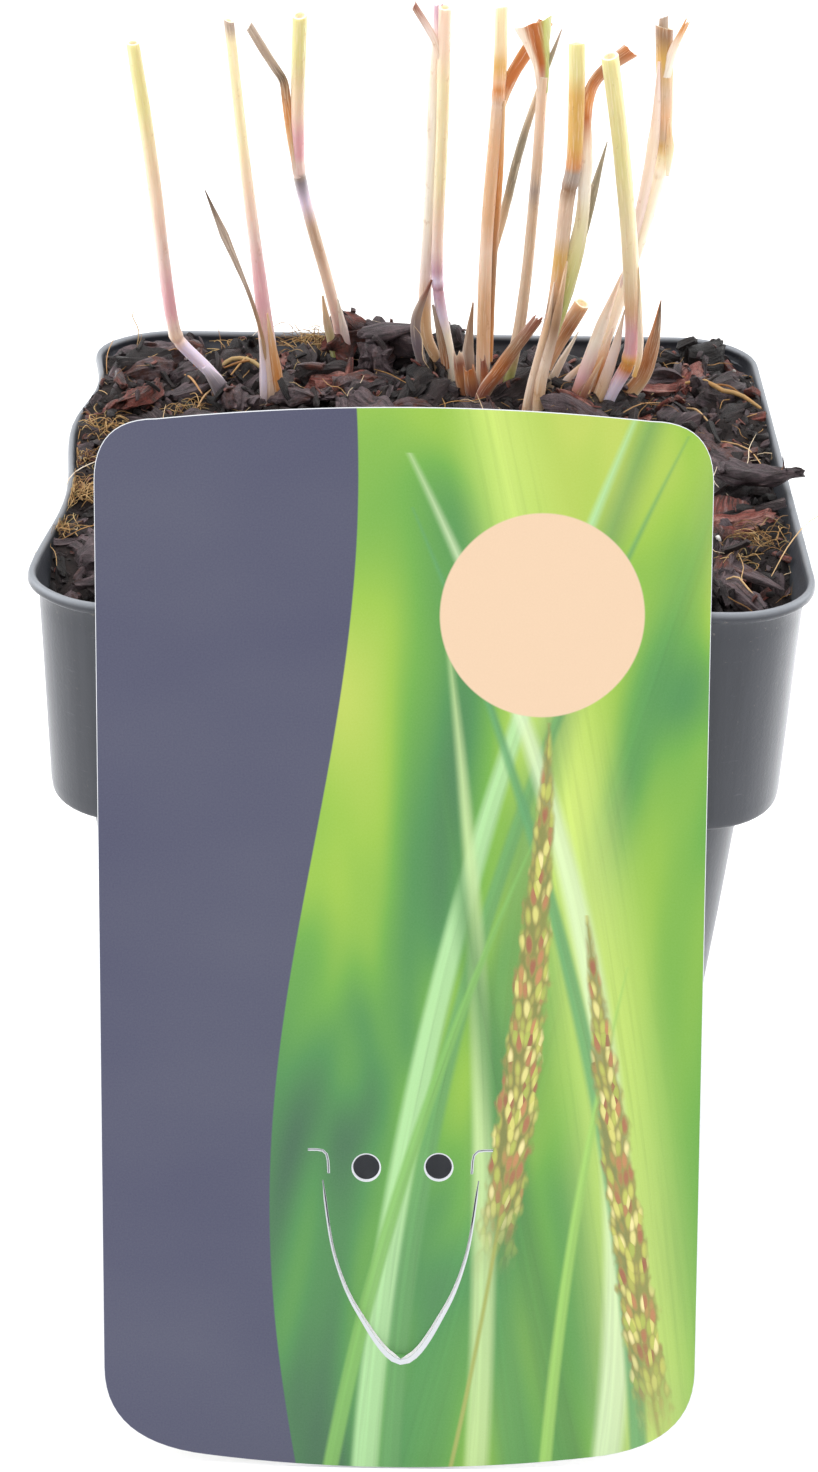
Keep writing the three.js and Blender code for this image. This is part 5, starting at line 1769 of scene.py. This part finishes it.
# How far a place is inside a soft blade that rises in a bend and comes to a point.
def bladeGroup():
    names = ("Across", "Up", "Foot", "Lean", "Bend", "Width", "Soft", "Low", "High")
    tree, given = newTree("softBlade", "ShaderNodeTree", [(name, "Float") for name in names],
                          [("Mask", "Float"), ("Offset", "Float")])
    share = calc(tree, "DIVIDE", given["Up"], card["height"])
    leaning = timesPlus(tree, share, given["Lean"], given["Foot"])
    bent = timesPlus(tree, times(tree, share, share), given["Bend"], leaning)
    offset = calc(tree, "SUBTRACT", given["Across"], bent)
    rise = calc(tree, "DIVIDE", calc(tree, "SUBTRACT", given["Up"], given["Low"]),
                calc(tree, "SUBTRACT", given["High"], given["Low"]))
    narrowed = calc(tree, "POWER", calc(tree, "MAXIMUM", rise, 0.0), 3.0)
    width = times(tree, given["Width"], calc(tree, "SUBTRACT", 1.0, narrowed, clamp=True))
    gap = calc(tree, "SUBTRACT", width, calc(tree, "ABSOLUTE", offset))
    mask = rangeOf(tree, gap, times(tree, given["Soft"], -1.0), given["Soft"])
    ends = times(tree, calc(tree, "GREATER_THAN", rise, 0.0), calc(tree, "LESS_THAN", rise, 1.0))
    addNode(tree, "NodeGroupOutput", {0: times(tree, mask, ends), 1: offset})
    return tree


# The print, the white core and the back. The print's places are millimetres across the card from
# its middle and up from its foot.
def cardMaterials():
    material, tree, shader = newMaterial("cardPrint", Roughness=0.42, IOR=1.46)
    flat = stretched(tree, addNode(tree, "ShaderNodeTexCoord").outputs["UV"], (card["height"],) * 3)
    across, up, _ = separated(tree, flat)
    across = calc(tree, "SUBTRACT", across, card["height"] / 2)
    soft = bladeGroup()

    def blade(foot, lean, bend, width, blur, low, high):
        return addNode(tree, "ShaderNodeGroup", {
            "Across": across, "Up": up, "Foot": foot, "Lean": lean, "Bend": bend, "Width": width,
            "Soft": blur, "Low": low, "High": high}, node_tree=soft).outputs

    haze = noiseOf(tree, flat, (0.045, 0.016, 1), 2, 0.5, 0.6)
    field = timesPlus(tree, up, 0.0042, timesPlus(tree, haze, 2.3, -0.92), clamp=True)
    body = ramp(tree, field, cardPrint["greens"])
    for *shape, colour, strength in cardPrint["blades"]:
        mask, offset = blade(*shape)
        vein = noiseOf(tree, combined(tree, offset, up), (1.4, 0.03, 1), 3)
        veins = rangeOf(tree, vein, 0.45, 0.7, 0, 0.3)
        shade = timesPlus(tree, rangeOf(tree, offset, -0.2, 0.2), 0.22, veins)
        leaf = mixColour(tree, shade, colour, tuple(0.5 * value for value in colour))
        body = mixColour(tree, times(tree, mask, strength), body, leaf)
    for foot, lean, bend, width, low, high in cardPrint["grains"]:
        stalk = blade(foot, lean, bend, 0.25, 0.2, -20, high)["Mask"]
        body = mixColour(tree, stalk, body, cardPrint["stalk"])
        ragged = noiseOf(tree, flat, (0.5, 0.28, 1), 2)
        ragged = timesPlus(tree, ragged, 3.0, width - 1.7)
        mask, offset = blade(foot, lean, bend, ragged, 0.4, low, high)
        swept = timesPlus(tree, calc(tree, "ABSOLUTE", offset), -0.9, up)
        spot = combined(tree, times(tree, offset, 1.5), times(tree, swept, 0.56))
        cells = addNode(tree, "ShaderNodeTexVoronoi", {"Vector": spot, "Scale": 1.0, "Randomness": 0.9})
        tone = addNode(tree, "ShaderNodeSeparateColor", {0: cells.outputs["Color"]}).outputs[0]
        plume = times(tree, mask, rangeOf(tree, up, low, low + 16))
        distance = cells.outputs["Distance"]
        body = mixColour(tree, times(tree, plume, 0.85), body, cardPrint["chaff"])
        grain = ramp(tree, tone, cardPrint["grainTones"])
        husk = mixColour(tree, rangeOf(tree, distance, 0.3, 0.75), grain, cardPrint["husk"])
        body = mixColour(tree, times(tree, plume, rangeOf(tree, distance, 0.85, 0.6)), body, husk)
    sunX, sunY = cardPrint["sunPlace"]
    gaps = (calc(tree, "SUBTRACT", across, sunX), calc(tree, "SUBTRACT", up, sunY))
    away = calc(tree, "SQRT", calc(tree, "ADD", *(calc(tree, "POWER", gap, 2.0) for gap in gaps)))
    radius = cardPrint["sunRadius"]
    body = mixColour(tree, rangeOf(tree, away, radius + 0.12, radius - 0.12), body, cardPrint["sun"])
    foot, sway = cardPrint["edge"]
    share = calc(tree, "DIVIDE", up, card["height"])
    wave = calc(tree, "SINE", timesPlus(tree, share, 4.6, 0.4))
    edge = timesPlus(tree, wave, sway, foot)
    dark = ramp(tree, noiseOf(tree, flat, (0.03, 0.05, 1), 2), cardPrint["slate"])
    gap = calc(tree, "SUBTRACT", across, edge)
    body = mixColour(tree, rangeOf(tree, gap, 0.1, -0.1), body, dark)
    body = mixColour(tree, 0.04, body, noiseOf(tree, flat, 5.0, 2, 0.5))
    wear(tree, shader, body, normal=bump(tree, noiseOf(tree, flat, 0.5, 4, 0.6), 0.02, 0.3))
    core = newMaterial("cardCore", Base_Color=(*cardPrint["core"], 1), Roughness=0.75)[0]
    back, tree, shader = newMaterial("cardBack", Roughness=0.6)
    wear(tree, shader, mixColour(tree, noiseOf(tree, placeOf(tree), 1.4, 4, 0.6), *cardPrint["back"]))
    return [material, core, back]


makeCard()
print("card made")


# Floor and light

studio = {
    "floor": paint(246, 246, 246),
    "floorHalf": 2500,
    "world": 0.78,
    # Name, place and spot that it faces in metres, width, height and power of each soft light.
    # The last two brighten the floor at the sides, which the plastic mirrors.
    "lights": [
        ("top", (0, 0.15, 1.3), (0, 0, 0.07), 1.8, 1.6, 15.5),
        ("left", (-1.0, 0.15, 0.55), (0, 0, 0.07), 1.0, 0.9, 7),
        ("right", (1.0, 0.2, 0.55), (0, 0, 0.07), 0.9, 0.9, 5),
        ("front", (-0.45, -1.1, 0.9), (0, 0, 0.07), 0.6, 0.6, 3),
        ("floorLeft", (-0.32, 0.2, 0.26), (-0.42, 0.26, 0), 0.3, 0.4, 0.6),
        ("floorRight", (0.32, 0.2, 0.26), (0.42, 0.26, 0), 0.3, 0.4, 2.4),
    ],
}


def areaLight(name, place, target, width, height, power):
    light = bpy.data.lights.new(name, "AREA")
    light.shape, light.size, light.size_y, light.energy = "RECTANGLE", width, height, power
    lamp = addObject(name, light)
    lamp.location = place
    lamp.rotation_mode = "QUATERNION"
    lamp.rotation_quaternion = (Vector(place) - Vector(target)).to_track_quat("Z", "Y")


def makeStudio():
    half = studio["floorHalf"]
    corners = [(-half, -half, 0), (half, -half, 0), (half, half, 0), (-half, half, 0)]
    finish = newMaterial("studioFloor", Base_Color=(*studio["floor"], 1), Roughness=0.8)[0]
    floor = makePiece("floor", corners, [(0, 1, 2, 3)], [finish], smooth=0)
    world = bpy.data.worlds.new("studio")
    world.use_nodes = True
    sky = world.node_tree.nodes["Background"].inputs
    sky["Color"].default_value = (1, 1, 1, 1)
    sky["Strength"].default_value = studio["world"]
    scene.world = world
    for values in studio["lights"]:
        areaLight(*values)
    scene.view_settings.view_transform = "Standard"
    scene.view_settings.look = "None"


makeStudio()
print("studio made")
